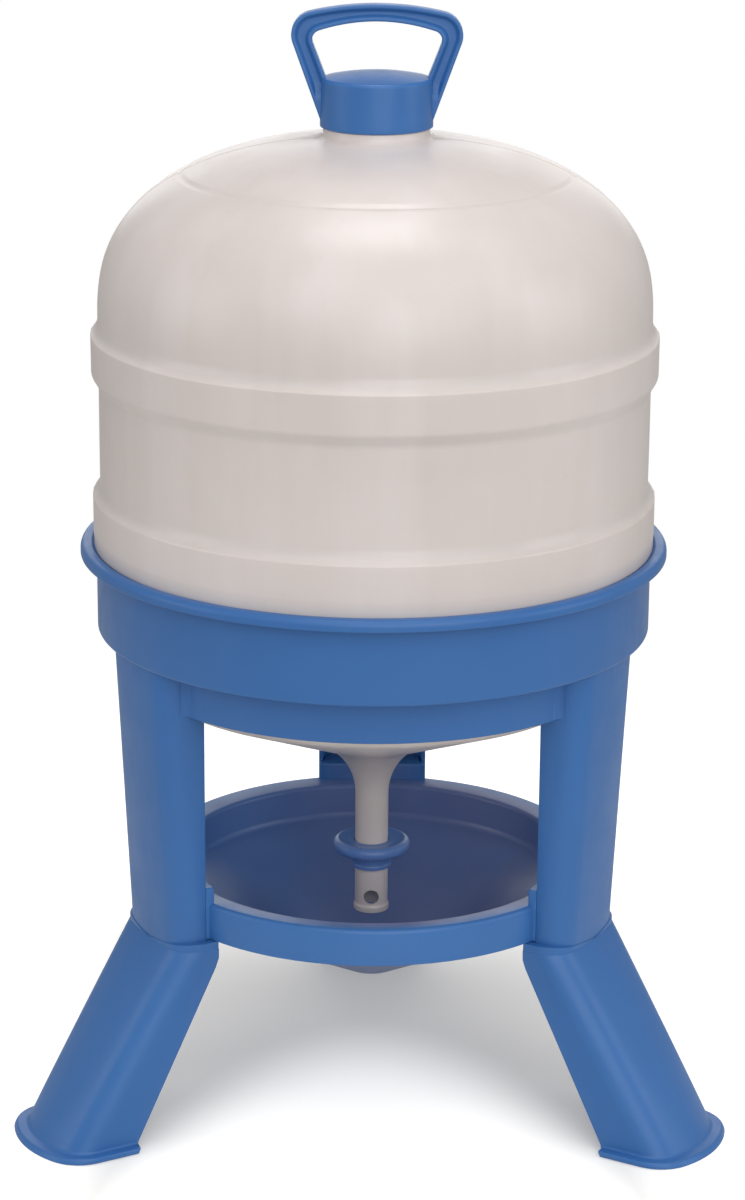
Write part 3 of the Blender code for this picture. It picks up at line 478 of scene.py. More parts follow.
def wavy(piece, amplitude, length):
    """Moves the points in and out by a slow random wave, as blown or moulded plastic is uneven."""
    strength, frequency = TANK_RIPPLE
    for vert in piece.data.vertices:
        offset = vert.co - Vector((0.0, AXIS_Y, 0.0))
        radial = Vector((offset.x, offset.y, 0.0))
        if radial.length < TUBE_RADIUS * 2.0:
            continue
        wave = noise.noise(vert.co / length) + strength * noise.noise(vert.co * frequency / length)
        vert.co += radial.normalized() * wave * amplitude


# Materials

class Nodes:
    """Short way to write a shader's nodes and their links."""

    def __init__(self, name, constants=None):
        self.material = bpy.data.materials.new(name)
        self.material.use_nodes = True
        self.tree = self.material.node_tree
        self.shader = self.tree.nodes["Principled BSDF"]
        self.coordinates = self.tree.nodes.new("ShaderNodeTexCoord")
        for key, value in (constants or {}).items():
            self.shader.inputs[key].default_value = value

    def add(self, kind, inputs=None, **settings):
        node = self.tree.nodes.new(kind)
        for key, value in settings.items():
            setattr(node, key, value)
        for key, value in (inputs or {}).items():
            if isinstance(value, bpy.types.NodeSocket):
                self.tree.links.new(value, node.inputs[key])
            else:
                node.inputs[key].default_value = value
        return node

    def place(self, scale):
        return self.add("ShaderNodeMapping",
                        {"Vector": self.coordinates.outputs["Object"], "Scale": scale}).outputs[0]

    def noise(self, scale, detail=2.0, roughness=0.5, vector=None):
        return self.add("ShaderNodeTexNoise",
                        {"Vector": vector or self.coordinates.outputs["Object"], "Scale": scale,
                         "Detail": detail, "Roughness": roughness}).outputs["Fac"]

    def span(self, value, from_low, from_high, to_low, to_high, smooth=False):
        return self.add("ShaderNodeMapRange",
                        {"Value": value, "From Min": from_low, "From Max": from_high,
                         "To Min": to_low, "To Max": to_high},
                        interpolation_type="SMOOTHSTEP" if smooth else "LINEAR").outputs["Result"]

    def math(self, operation, first, second):
        return self.add("ShaderNodeMath", {0: first, 1: second}, operation=operation).outputs[0]

    def blend(self, share, first, second):
        return self.add("ShaderNodeMix", {0: share, 6: first, 7: second}, data_type="RGBA").outputs[2]

    def finish(self, tone, rough, *grains):
        """Links colour and roughness, and bumps of noise on noise: scale, detail, roughness,
        strength and depth. Gives the material."""
        normal = None
        for scale, detail, roughness, strength, depth in grains:
            bump = self.add("ShaderNodeBump", {"Height": self.noise(scale, detail, roughness),
                                               "Strength": strength, "Distance": depth})
            if normal:
                self.tree.links.new(normal, bump.inputs["Normal"])
            normal = bump.outputs["Normal"]
        for output, name in ((tone, "Base Color"), (rough, "Roughness"), (normal, "Normal")):
            self.tree.links.new(output, self.shader.inputs[name])
        return self.material


def colour(red, green, blue):
    """Linear colour from a display colour of 0 to 255 for each part."""
    parts = []
    for part in (red, green, blue):
        share = part / 255.0
        parts.append(share / 12.92 if share <= 0.04045 else ((share + 0.055) / 1.055) ** 2.4)
    return (*parts, 1.0)


def blue_plastic(name, base, roughness, painted_shade=None):
    """Moulded polypropylene: satin and finely grained, with faint flow marks, and paler convex edges
    that are partly wear and partly painted highlight.

    A painted shade is a dull reddish-violet tint painted into the bowl for its shade and the milky
    tank's reflection, stronger towards the right: its colour, the radii over which it ends, its
    strength.
    """
    nodes = Nodes(name, {"IOR": 1.49, "Specular IOR Level": 0.44})
    cloud = nodes.noise(9.0, 4.0, 0.55)
    flow = nodes.noise(26.0, 3.0, 0.5, nodes.place((1.0, 1.0, 0.22)))
    darker = tuple(part * 0.93 for part in base[:3]) + (1.0,)
    paler = tuple(part * 0.95 + 0.012 for part in base[:3]) + (1.0,)
    tone = nodes.blend(nodes.span(cloud, 0.30, 0.70, 0.0, 1.0), darker, base)
    tone = nodes.blend(nodes.span(flow, 0.45, 0.75, 0.0, 0.4), tone, paler)
    geometry = nodes.add("ShaderNodeNewGeometry")
    # Convex edges, found by pointiness and broken up by noise, are painted paler: partly edge wear,
    # partly painted highlight.
    edge = nodes.span(geometry.outputs["Pointiness"], 0.54, 0.64, 0.0, 0.10)
    wear_and_highlight = nodes.math("MULTIPLY", edge, nodes.span(nodes.noise(60.0, 3.0), 0.35, 0.65, 0.4, 1.0))
    tone = nodes.blend(wear_and_highlight, tone, colour(140, 172, 214))
    if painted_shade:
        shade_tint, ends, strength = painted_shade
        place = nodes.add("ShaderNodeSeparateXYZ", {0: nodes.coordinates.outputs["Object"]}).outputs
        along = nodes.math("SUBTRACT", place[1], AXIS_Y)
        squares = nodes.math("ADD", nodes.math("MULTIPLY", place[0], place[0]),
                             nodes.math("MULTIPLY", along, along))
        within = nodes.span(nodes.math("SQRT", squares, 0.0), *ends, strength, 0.0)
        patches = nodes.span(nodes.noise(11.0, 4.0, 0.6), 0.35, 0.65, 0.65, 1.0)
        # painted shade: stronger towards the right, where the bowl lies deeper in shade
        slope = nodes.span(place[0], -0.12, 0.02, 0.40, 1.0, smooth=True)
        within = nodes.math("MULTIPLY", within, slope)
        tone = nodes.blend(nodes.math("MULTIPLY", within, patches), tone, shade_tint)
    rough = nodes.span(nodes.noise(40.0, 4.0, 0.6), 0.3, 0.7, roughness - 0.05, roughness + 0.06)
    return nodes.finish(tone, rough, (70.0, 2.0, 0.4, 0.10, 0.0010), (2300.0, 2.0, 0.6, 0.16, 0.00006))


def tank_plastic():
    """Blown polyethylene: milky, satin, softly cloudy, with faint drawn streaks."""
    nodes = Nodes("tank_polyethylene",
                  {"IOR": 1.48, "Specular IOR Level": 0.70, "Subsurface Weight": 0.12,
                   "Subsurface Radius": (1.0, 0.82, 0.70), "Subsurface Scale": 0.003})
    base = colour(212, 204, 201)
    warm = colour(205, 196, 191)
    cool = colour(218, 211, 210)
    cloud = nodes.noise(5.0, 4.0, 0.6)
    tone = nodes.blend(nodes.span(cloud, 0.35, 0.65, 0.0, 1.0), warm, base)
    streak = nodes.noise(22.0, 3.0, 0.55, nodes.place((1.0, 1.0, 0.10)))
    tone = nodes.blend(nodes.span(streak, 0.45, 0.75, 0.0, 0.6), tone, cool)
    dust = nodes.span(nodes.noise(120.0, 5.0, 0.7), 0.62, 0.80, 0.0, 0.20)
    tone = nodes.blend(dust, tone, colour(186, 177, 168))
    rough = nodes.span(nodes.noise(30.0, 4.0, 0.6), 0.3, 0.7, 0.30, 0.41)
    return nodes.finish(tone, rough, (45.0, 2.0, 0.5, 0.12, 0.0012), (900.0, 3.0, 0.6, 0.12, 0.00010))


def gasket_rubber():
    """Black rubber, matte, with a faint bloom."""
    nodes = Nodes("gasket_rubber", {"IOR": 1.5})
    bloom = nodes.span(nodes.noise(180.0, 4.0, 0.6), 0.4, 0.7, 0.0, 1.0)
    tone = nodes.blend(bloom, colour(30, 30, 32), colour(52, 52, 54))
    rough = nodes.span(bloom, 0.0, 1.0, 0.62, 0.80)
    return nodes.finish(tone, rough, (1500.0, 2.0, 0.5, 0.2, 0.00008))


# Tank

def cone_height(radius):
    """Height of the tank's conical underside at a radius from the axis."""
    return CONE_EDGE_Z - (TANK_BOTTOM_RADIUS - radius) * math.tan(math.radians(CONE_SLOPE))


def lower_corners(wall, tube_wall):
    """Corners of the tank's lower end, set in by its walls: side, step, cone and outlet tube."""
    side = TANK_SIDE_RADIUS - wall
    bottom = TANK_BOTTOM_RADIUS - wall
    tube = TUBE_RADIUS - tube_wall
    lift = wall / math.cos(math.radians(CONE_SLOPE))
    return [(side, TANK_SEAT_Z + wall), (side, STEP_TOP_Z + wall), (bottom, STEP_FOOT_Z + wall),
            (bottom, cone_height(bottom) + lift), (tube, cone_height(tube) + lift),
            (tube, TUBE_END_Z)]


def dome_line(wall, start, end, steps):
    """Line down the dome, a superellipse, between two radii and a wall's thickness inside it."""
    reach = TANK_RADIUS - wall
    rise = DOME_RISE - wall
    power = 2.0 / DOME_EXPONENT
    first = math.asin((start / reach) ** (1.0 / power))
    last = math.asin(min(end / reach, 1.0) ** (1.0 / power))
    line = []
    for step in range(steps + 1):
        angle = first + (last - first) * step / steps
        radius = reach * math.sin(angle) ** power
        height = DOME_BASE_Z + rise * max(math.cos(angle), 0.0) ** power
        if wall == 0.0:
            aside = abs(radius - CROWN_GROOVE_RADIUS) / (CROWN_GROOVE_WIDTH / 2.0)
            if aside < 1.0:
                height -= CROWN_GROOVE_DEPTH * (0.5 + 0.5 * math.cos(math.pi * aside))
        line.append((radius, height))
    return line


def dome_outside(start, steps):
    """Dome with closer points across the crown groove."""
    near = CROWN_GROOVE_RADIUS - CROWN_GROOVE_WIDTH * 0.55
    far = CROWN_GROOVE_RADIUS + CROWN_GROOVE_WIDTH * 0.55
    return (dome_line(0.0, start, near, steps)[:-1] + dome_line(0.0, near, far, 16)[:-1]
            + dome_line(0.0, far, TANK_RADIUS, steps))


def band_top(band_top_z):
    """Line from the wall out to a band's face: a hollow flare that ends in a small rounded edge."""
    turn = math.radians(BAND_FLARE_TURN)
    edge = BAND_EDGE_ROUNDING
    flare = (BAND_HEIGHT - edge * (1.0 - math.cos(turn))) / (1.0 - math.cos(turn))
    edge_z = band_top_z - BAND_EDGE_DROP
    wall_z = edge_z + (edge + flare) * math.sin(turn)
    line = arc((TANK_RADIUS + flare, wall_z), flare, 180.0, 180.0 + BAND_FLARE_TURN, 12)
    return line + arc((BAND_RADIUS - edge, edge_z), edge, BAND_FLARE_TURN, 0.0, 8)


def tank_outside():
    """Outer line of the tank from its neck down to the end of the outlet tube."""
    mouth = MOUTH_ROUNDING
    under_collar, beside_collar = (dome_line(0.0, radius, TANK_RADIUS, 1)[0]
                                   for radius in (COLLAR_RADIUS, COLLAR_RADIUS + COLLAR_FILLET))
    line = arc((NECK_RADIUS - mouth, NECK_TOP_Z - mouth), mouth, 90.0, 0.0, 3)
    line += rounded_line([(NECK_RADIUS, NECK_TOP_Z), (NECK_RADIUS, COLLAR_TOP_Z),
                          (COLLAR_RADIUS, COLLAR_TOP_Z), under_collar, beside_collar],
                         [COLLAR_EDGE_ROUNDING, COLLAR_EDGE_ROUNDING, COLLAR_FILLET * 0.8], 6)
    line += dome_outside(COLLAR_RADIUS + COLLAR_FILLET, 34)
    upper = band_top(UPPER_BAND_TOP_Z)
    line = [point for point in line if point[1] > upper[0][1]] + upper
    line += rounded_line([upper[-1], (BAND_RADIUS, UPPER_BAND_Z),
                          (TANK_RADIUS, UPPER_BAND_Z - BAND_LOWER_SLOPE), (TANK_RADIUS, WAIST_Z)],
                         [BAND_ROUNDING, BAND_FOOT_ROUNDING])
    seat = (TANK_RADIUS + SEAT_WIDTH, TANK_SEAT_Z)
    lower = band_top(LOWER_BAND_TOP_Z)
    line += lower + rounded_line([lower[-1], (BAND_RADIUS, LOWER_BAND_Z), seat], [BAND_ROUNDING])
    corners = lower_corners(0.0, 0.0)
    line += [seat, corners[0]]
    line += rounded_line(corners, [STEP_ROUNDING, STEP_ROUNDING, CONE_CORNER, CONE_TUBE_FLARE], 16)
    lip = TUBE_RADIUS + LIP_STANDOUT
    return line + rounded_line([line[-1], (TUBE_RADIUS, TUBE_END_Z + LIP_HEIGHT),
                                (lip, TUBE_END_Z + LIP_HEIGHT - 2.0 * LIP_STANDOUT),
                                (lip, TUBE_END_Z), (TUBE_RADIUS - TUBE_WALL, TUBE_END_Z)],
                               [LIP_FILLET, LIP_FILLET, LIP_ROUNDING], 5)


def tank_inside():
    """Inner line of the tank from the mouth of its neck down to the end of the outlet tube."""
    wall = TANK_WALL
    bore = NECK_RADIUS - wall
    mouth = MOUTH_ROUNDING
    line = arc((bore + mouth, NECK_TOP_Z - mouth), mouth, 90.0, 180.0, 3)
    line += dome_line(wall, bore, TANK_RADIUS, 26)
    for radius, height in ((BAND_RADIUS, UPPER_BAND_TOP_Z), (BAND_RADIUS, UPPER_BAND_Z),
                           (TANK_RADIUS, UPPER_BAND_Z - BAND_LOWER_SLOPE), (TANK_RADIUS, WAIST_Z),
                           (BAND_RADIUS, LOWER_BAND_TOP_Z), (BAND_RADIUS, LOWER_BAND_Z + wall)):
        line.append((radius - wall, height))
    corners = lower_corners(wall, TUBE_WALL)
    line += corners[:3]
    line += rounded_line(corners[2:], [CONE_CORNER - wall, CONE_TUBE_FLARE + wall], 10)
    return line + corners[-1:]


def neck_thread():
    """Helical ridge round the neck, with its ends fading into the neck."""
    steps = int(THREAD_TURNS * THREAD_STEPS)
    sections = []
    for step in range(steps + 1):
        share = step / steps
        angle = math.radians(step * 360.0 / THREAD_STEPS + THREAD_START_ANGLE)
        middle_z = COLLAR_TOP_Z + THREAD_START + THREAD_PITCH * step / THREAD_STEPS
        depth = THREAD_DEPTH * min(1.0, share * THREAD_FADE, (1.0 - share) * THREAD_FADE)
        flank = list(zip((-THREAD_ROOT, depth * 0.2, depth * 0.85), THREAD_HALF_WIDTHS))
        section = []
        for out, up in [(out, -up) for out, up in flank] + [(depth, 0.0)] + flank[::-1]:
            radius = NECK_RADIUS + out
            section.append((radius * math.cos(angle), AXIS_Y + radius * math.sin(angle), middle_z + up))
        sections.append(section)
    return lofted("neck_thread", sections)


def parting_line(side, direction):
    """Fine ridge down the tank where the mould halves met, with a small web beside the neck."""
    line = divided([point for point in tank_outside() if point[0] > COLLAR_RADIUS + GAP / 2.0],
                   longest=0.004)
    web_length, web_height, web_width = PARTING_WEB
    bend_height, bend_width = PARTING_SHOULDER
    sections = []
    for index, (radius, height) in enumerate(line):
        before = Vector(line[max(index - 1, 0)])
        after = Vector(line[min(index + 1, len(line) - 1)])
        along = (after - before).normalized()
        normal = Vector((-along.y, along.x))
        if normal.x < -0.2 or (abs(normal.x) <= 0.2 and normal.y < 0.0 and height > TANK_SEAT_Z):
            normal = -normal
        near = max(0.0, 1.0 - (radius - COLLAR_RADIUS) / web_length)
        rise = PARTING_HEIGHT
        if height > DOME_BASE_Z:
            rise += web_height * near ** 1.5
        half = PARTING_WIDTH / 2.0 + web_width * near
        flank = [(-PARTING_ROOT, half), (rise * bend_height, half * bend_width)]
        section = []
        for out, across in [(out, -across) for out, across in flank] + [(rise, 0.0)] + flank[::-1]:
            point = Vector((radius, height)) + normal * out
            section.append((direction * point.x, AXIS_Y + across, point.y))
        sections.append(section)
    return lofted("tank_parting_line_" + side, sections)


def make_tank():
    """Blown tank with its outlet hole, neck thread and parting lines."""
    outside = divided(tank_outside(), longest=0.0045)
    inside = divided(tank_inside(), longest=0.012)
    tank = turned("tank_body", outside + inside[::-1], TANK_SEGMENTS)
    wavy(tank, TANK_WAVE, TANK_WAVE_LENGTH)
    circle = arc((0.0, TUBE_END_Z + HOLE_HEIGHT), HOLE_RADIUS, 0.0, 360.0, 48)[:-1]
    hole = lofted("outlet_hole", [[(x, AXIS_Y + depth, z) for x, z in circle]
                                  for depth in (-2.0 * TUBE_RADIUS, 0.0)])
    combined(tank, [hole], "DIFFERENCE")
    return [tank, neck_thread(), parting_line("right", 1.0), parting_line("left", -1.0)]


# Stand

def ring_profile():
    """Closed section of the ring: rolled rim, outer wall, step and lower skirt."""
    inner = RING_INNER_RADIUS
    top = ROLL_TOP_Z
    seat_z = TANK_SEAT_Z - GAP
    seat_outer = TANK_RADIUS + SEAT_WIDTH + SEAT_PLAY
    lip_z = RING_TOP_Z - RIM_DROP
    flange = RIM_RADIUS - RIM_THICKNESS
    points = rounded_line([(inner, RING_STEP_Z), (inner, seat_z), (seat_outer, seat_z),
                           (seat_outer + ROLL_SLOPE, top), (RIM_RADIUS, top)],
                          [SEAT_PLAY, SEAT_PLAY, ROLL_ROUNDING], 6)
    points += arc((RIM_RADIUS - RIM_ROUNDING, top - RIM_ROUNDING), RIM_ROUNDING, 90.0, 0.0, 10)
    points += rounded_line([(RIM_RADIUS, top - RIM_ROUNDING), (RIM_RADIUS, lip_z), (flange, lip_z),
                            (flange, seat_z - RIM_THICKNESS), (RING_RADIUS, seat_z - RIM_THICKNESS),
                            (RING_RADIUS, RING_BASE_Z), (SKIRT_RADIUS, RING_BASE_Z),
                            (SKIRT_RADIUS, SKIRT_END_Z), (SKIRT_INNER_RADIUS, SKIRT_END_Z),
                            (SKIRT_INNER_RADIUS, RING_STEP_Z)],
                           [RIM_EDGE_ROUNDING, RIM_EDGE_ROUNDING, RIM_INNER_ROUNDING,
                            RIM_WALL_FILLET, RING_EDGE_ROUNDING, SKIRT_FILLET,
                            SKIRT_EDGE_ROUNDING, SKIRT_EDGE_ROUNDING], 6)
    points += rounded_line([points[-1], (SKIRT_INNER_RADIUS, RING_STEP_Z), (inner, RING_STEP_Z),
                            (inner, top)], [RING_INNER_FILLET, RING_INNER_FILLET], 4)
    return points


def column_section(height, inset=0.0):
    """Closed plan section of the channel column, with rounded inner edges."""
    share = (height - COLUMN_FOOT_Z) / (RING_BASE_Z - COLUMN_FOOT_Z)
    reach = between(COLUMN_FOOT_REACH, COLUMN_HEAD_REACH, share)
    size = (COLUMN_HALF_WIDTH, reach, COLUMN_CORNER, COLUMN_FACE_RADIUS)
    edge = COLUMN_EDGE_ROUNDING
    wall = COLUMN_WALL - 2.0 * inset
    side = COLUMN_HALF_WIDTH - inset
    outer = channel_path(size, COLUMN_INNER + edge, -inset)
    inner = channel_path(size, COLUMN_INNER + edge, -inset - wall)
    tip = [(COLUMN_INNER + 0.3 * edge, -side + 0.3 * edge), (COLUMN_INNER, -side + edge),
           (COLUMN_INNER, -side + wall - edge), (COLUMN_INNER + 0.3 * edge, -side + wall - 0.3 * edge)]
    return outer + tip + list(reversed(inner)) + [(x, -y) for x, y in reversed(tip)]


def make_column(side, angle):
    """Channel column, open inwards, cut clear of the tank's bottom."""
    levels = [(column_section(COLUMN_FOOT_Z, COLUMN_FOOT_ROUNDING), COLUMN_FOOT_Z)]
    for step in range(COLUMN_STEPS + 1):
        height = between(COLUMN_FOOT_Z + COLUMN_FOOT_ROUNDING, RING_BASE_Z + RING_WALL / 2.0,
                         step / COLUMN_STEPS)
        levels.append((column_section(height), height))
    column = leg_loft("column_" + side, angle, levels)
    drop = TANK_PLAY / math.cos(math.radians(CONE_SLOPE))
    edge = TANK_BOTTOM_RADIUS + TANK_PLAY
    wide = SKIRT_RADIUS - RING_WALL / 2.0
    widening_z = SKIRT_END_Z + RING_WALL
    middle = (edge / 2.0, cone_height(edge / 2.0) - drop)
    corner = rounded_corner(middle, (edge, cone_height(edge) - drop), (edge, RING_STEP_Z),
                            CONE_CORNER + TANK_PLAY, 10)
    profile = [(0.0, cone_height(0.0) - drop)] + corner
    profile += [(edge, widening_z), (wide, widening_z + wide - edge), (wide, RING_STEP_Z),
                (0.0, RING_STEP_Z)]
    space = turned("tank_space_" + side, profile, RING_SEGMENTS, closed=False)
    return combined(column, [space], "DIFFERENCE")


def column_fillet(angle, sign):
    """Concave fillet in the corner between a column's side and the skirt."""
    radius = COLUMN_SKIRT_FILLET
    across = COLUMN_HALF_WIDTH + radius
    along = math.sqrt((SKIRT_RADIUS + radius) ** 2 - across ** 2)
    turn = math.degrees(math.atan2(across, along))
    inside = SKIRT_FILLET_ROOT
    path = arc((along, across), radius, 180.0 + turn, 270.0, 12)
    foot = path[0]
    pulled = 1.0 - inside / SKIRT_RADIUS
    path += [(along, COLUMN_HALF_WIDTH - inside),
             ((SKIRT_RADIUS - inside) * SKIRT_FILLET_CORNER, COLUMN_HALF_WIDTH - inside),
             (foot[0] * pulled, foot[1] * pulled)]
    path = [(x, y * sign) for x, y in path]
    return leg_loft("fillet", angle, [(path, SKIRT_END_Z + SKIRT_EDGE_ROUNDING * 0.8),
                                      (path, RING_BASE_Z + RING_WALL / 2.0)])


def make_stand():
    """Ring that carries the tank, with three channel columns open inwards."""
    stand = turned("stand_moulding", ring_profile(), RING_SEGMENTS)
    parts = []
    for side, angle in LEG_ANGLES.items():
        parts += [make_column(side, angle), column_fillet(angle, 1.0), column_fillet(angle, -1.0)]
    return combined(stand, parts, "UNION")


# Trough

def trough_profile():
    """Section of the trough: hollow rim, steep inner wall, conical floor and small flat sump."""
    slope = math.radians(TROUGH_FLOOR_SLOPE)
    wall = TROUGH_WALL
    rim_inner_z = TROUGH_RIM_Z - TROUGH_RIM_FALL
    under_rim = (TROUGH_RADIUS - wall, TROUGH_RIM_Z - wall)
    upper = [(0.0, SUMP_Z)]
    upper += rounded_line([(0.0, SUMP_Z), (SUMP_RADIUS, SUMP_Z), (BOWL_RADIUS, BOWL_EDGE_Z),
                           (TROUGH_RIM_INNER, rim_inner_z), (TROUGH_RADIUS, TROUGH_RIM_Z),
                           (TROUGH_RADIUS, TROUGH_SEAT_Z), (TROUGH_RADIUS - wall, TROUGH_SEAT_Z),
                           under_rim],
                          [SUMP_FILLET, BOWL_FILLET, TROUGH_RIM_ROUNDING, TROUGH_RIM_ROUNDING,
                           TROUGH_FOOT_ROUNDING, TROUGH_FOOT_ROUNDING], 6)
    floor_drop = wall / math.cos(slope)
    sump_growth = wall * math.tan(slope / 2.0)
    lower = [under_rim, (TROUGH_RIM_INNER + wall, rim_inner_z - wall),
             (BOWL_RADIUS + wall, BOWL_EDGE_Z + wall * math.tan(slope) - floor_drop),
             (SUMP_RADIUS + sump_growth, SUMP_Z - wall), (0.0, SUMP_Z - wall)]
    under = rounded_line([upper[-1]] + lower,
                         [TROUGH_UNDER_ROUNDING, TROUGH_UNDER_ROUNDING, BOWL_FILLET, SUMP_FILLET], 5)
    return divided(upper + under + [(0.0, SUMP_Z - wall)], longest=0.025)


def tongue_block(name, angle, inset, low_z, high_z, steps=0):
    """Upright block with the tongue's outline, drawn in by an inset. Its top is rounded in steps."""
    rounding = TONGUE_EDGE_ROUNDING
    top = [(inset, high_z)]
    if steps:
        top = arc((inset + rounding, high_z - rounding), rounding, 180.0, 90.0, steps)
    return leg_loft(name, angle,
                    [(channel_path(COLUMN_FOOT_SIZE, TONGUE_INNER + aside, -PLUG_INSET - aside), height)
                     for aside, height in [(inset, low_z)] + top])


def make_tongue_shoulder(side, angle):
    """Block inside the column's edges, flush with the column's sides."""
    edge = SHOULDER_ROUNDING
    levels = []
    for inset, height in ((0.0, TROUGH_SEAT_Z + 2.0 * TONGUE_LIFT), (0.0, TONGUE_TOP_Z - edge),
                          (edge, TONGUE_TOP_Z)):
        low = TONGUE_INNER + SHOULDER_INSET + inset
        high = COLUMN_INNER - SHOULDER_INSET - inset
        half = COLUMN_HALF_WIDTH - SHOULDER_INSET - inset
        levels.append(([(low + edge, half), (high, half), (high, -half), (low + edge, -half),
                        (low, edge - half), (low, half - edge)], height))
    return leg_loft("tongue_shoulder_" + side, angle, levels)


def make_trough():
    """Drinking trough with three hollow tongues."""
    trough = turned("trough_moulding", trough_profile(), RING_SEGMENTS, closed=False)
    legs = LEG_ANGLES.items()
    tongues = [tongue_block("tongue_" + side, angle, 0.0, TROUGH_SEAT_Z + TONGUE_LIFT, TONGUE_TOP_Z, 6)
               for side, angle in legs]
    tongues += [make_tongue_shoulder(side, angle) for side, angle in legs]
    combined(trough, tongues, "UNION")
    hollows = [tongue_block("tongue_hollow_" + side, angle, TONGUE_WALL, TROUGH_SEAT_Z - TONGUE_WALL,
                            TONGUE_TOP_Z - TONGUE_WALL) for side, angle in legs]
    return combined(trough, hollows, "DIFFERENCE")


# Shut-off ring

def make_shutoff_ring():
    """Flanged sleeve on the outlet tube, with a bead at its lower end."""
    bore = TUBE_RADIUS + SLEEVE_CLEARANCE
    sleeve = bore + SLEEVE_WALL
    bead = sleeve + SLEEVE_BEAD
    base = shutoff_low.z
    top = shutoff_high.z
    low = top - FLANGE_THICKNESS
    floor = top - FLANGE_DISH
    edge = SLEEVE_EDGE_ROUNDING
    profile = rounded_line([(bore, top), (bore, base), (bead, base),
                            (bead, base + SLEEVE_BEAD_HEIGHT),
                            (sleeve, base + SLEEVE_BEAD_HEIGHT + 2.0 * SLEEVE_BEAD),
                            (sleeve, low), (FLANGE_RADIUS - FLANGE_ROUNDING, low)],
                           [edge, SLEEVE_BORE_ROUNDING, edge, edge, SLEEVE_FILLET], 6)
    middle = FLANGE_RADIUS - FLANGE_ROUNDING
    profile += arc((middle, low + FLANGE_ROUNDING), FLANGE_ROUNDING, -90.0, 0.0, 10)
    profile += arc((middle, top - FLANGE_ROUNDING), FLANGE_ROUNDING, 0.0, FLANGE_TURN, 12)
    profile += rounded_line([profile[-1], (sleeve + FLANGE_DISH_RIM, floor), (bore, floor),
                             (bore, base)], [FLANGE_DISH_ROUNDING, SLEEVE_BORE_ROUNDING])
    return turned("shutoff_ring_moulding", divided(profile, longest=0.003), CAP_SEGMENTS)


# Cap

def handle_line(foot_x, spread, middle_z, arch, radius):
    """Half of one line of the handle: straight side bar, round corner and arched top bar."""
    corner_x = foot_x + spread
    side_steps, corner_steps, bar_steps = HANDLE_STEPS

    def bar_z(x):
        return middle_z - arch * (x / corner_x) ** 2

    foot = (foot_x, HANDLE_ROOT_Z)
    touch_x = corner_x - HANDLE_TOUCH * radius
    slope = -2.0 * arch * touch_x / corner_x ** 2
    tangent_foot = bar_z(touch_x) - slope * touch_x
    lean = spread / (middle_z - arch - HANDLE_ROOT_Z)
    meeting_z = (tangent_foot + slope * (foot_x - lean * HANDLE_ROOT_Z)) / (1.0 - slope * lean)
    corner = (foot_x + lean * (meeting_z - HANDLE_ROOT_Z), meeting_z)
    rounding = rounded_corner(foot, corner, (0.0, tangent_foot), radius, corner_steps)
    side = divided([foot, rounding[0]], math.dist(foot, rounding[0]) / (side_steps - 0.5))
    last_x, last_z = rounding[-1]
    bar = []
    for step in range(1, bar_steps + 1):
        share = 1.0 - step / bar_steps
        bar.append((last_x * share, bar_z(last_x * share) + (last_z - bar_z(last_x)) * share ** 3))
    return side[:-1] + rounding + bar


def handle_stations():
    """Pairs of outer and inner points round the whole handle, from its right foot to its left."""
    outer = handle_line(HANDLE_FOOT_RADIUS, HANDLE_SPREAD, HANDLE_TOP_Z, HANDLE_ARCH, HANDLE_CORNER)
    inner = handle_line(HANDLE_FOOT_RADIUS - HANDLE_LEG, HANDLE_SPREAD - HANDLE_LEG_WIDENING,
                        HANDLE_TOP_Z - HANDLE_BAR, HANDLE_INNER_ARCH, HANDLE_INNER_CORNER)
    right = list(zip(outer, inner))
    left = [((-a[0], a[1]), (-b[0], b[1])) for a, b in reversed(right[:-1])]
    return right + left


def handle_section(width, recess):
    """Half of the handle's section, across the bar and in depth: rounded flange, then the groove."""
    half = HANDLE_DEPTH / 2.0
    edge = HANDLE_EDGE_ROUNDING
    flange = HANDLE_FLANGE
    bank = HANDLE_BANK * recess / HANDLE_RECESS
    fillet = recess * 0.38
    points = arc((edge, half - edge), edge, 180.0, 90.0, 5)
    points += rounded_line([(edge, half), (flange, half),
                            (flange + bank, half - recess), (width / 2.0, half - recess)],
                           [fillet, fillet], 5)
    return points + [(width / 2.0, half - recess)]


def make_handle():
    """Loop handle swept round its stations with an I-shaped section."""
    sections = []
    for outer, inner in handle_stations():
        start = Vector(outer)
        across = Vector(inner) - start
        width = across.length
        across.normalize()
        above = start.y - HANDLE_RECESS_Z
        share = min(max(above / HANDLE_RECESS_RUN, 0.0), 1.0)
        quarter = handle_section(width, HANDLE_RECESS * max(1.0 - (1.0 - share) ** 2, 0.02))
        front = quarter + [(width - w, d) for w, d in reversed(quarter[:-1])]
        ring = [(w, -d) for w, d in front] + [(w, d) for w, d in reversed(front)]
        section = []
        for w, d in ring:
            point = start + across * w
            section.append((point.x, AXIS_Y + d, point.y))
        sections.append(section)
    return lofted("handle", sections)


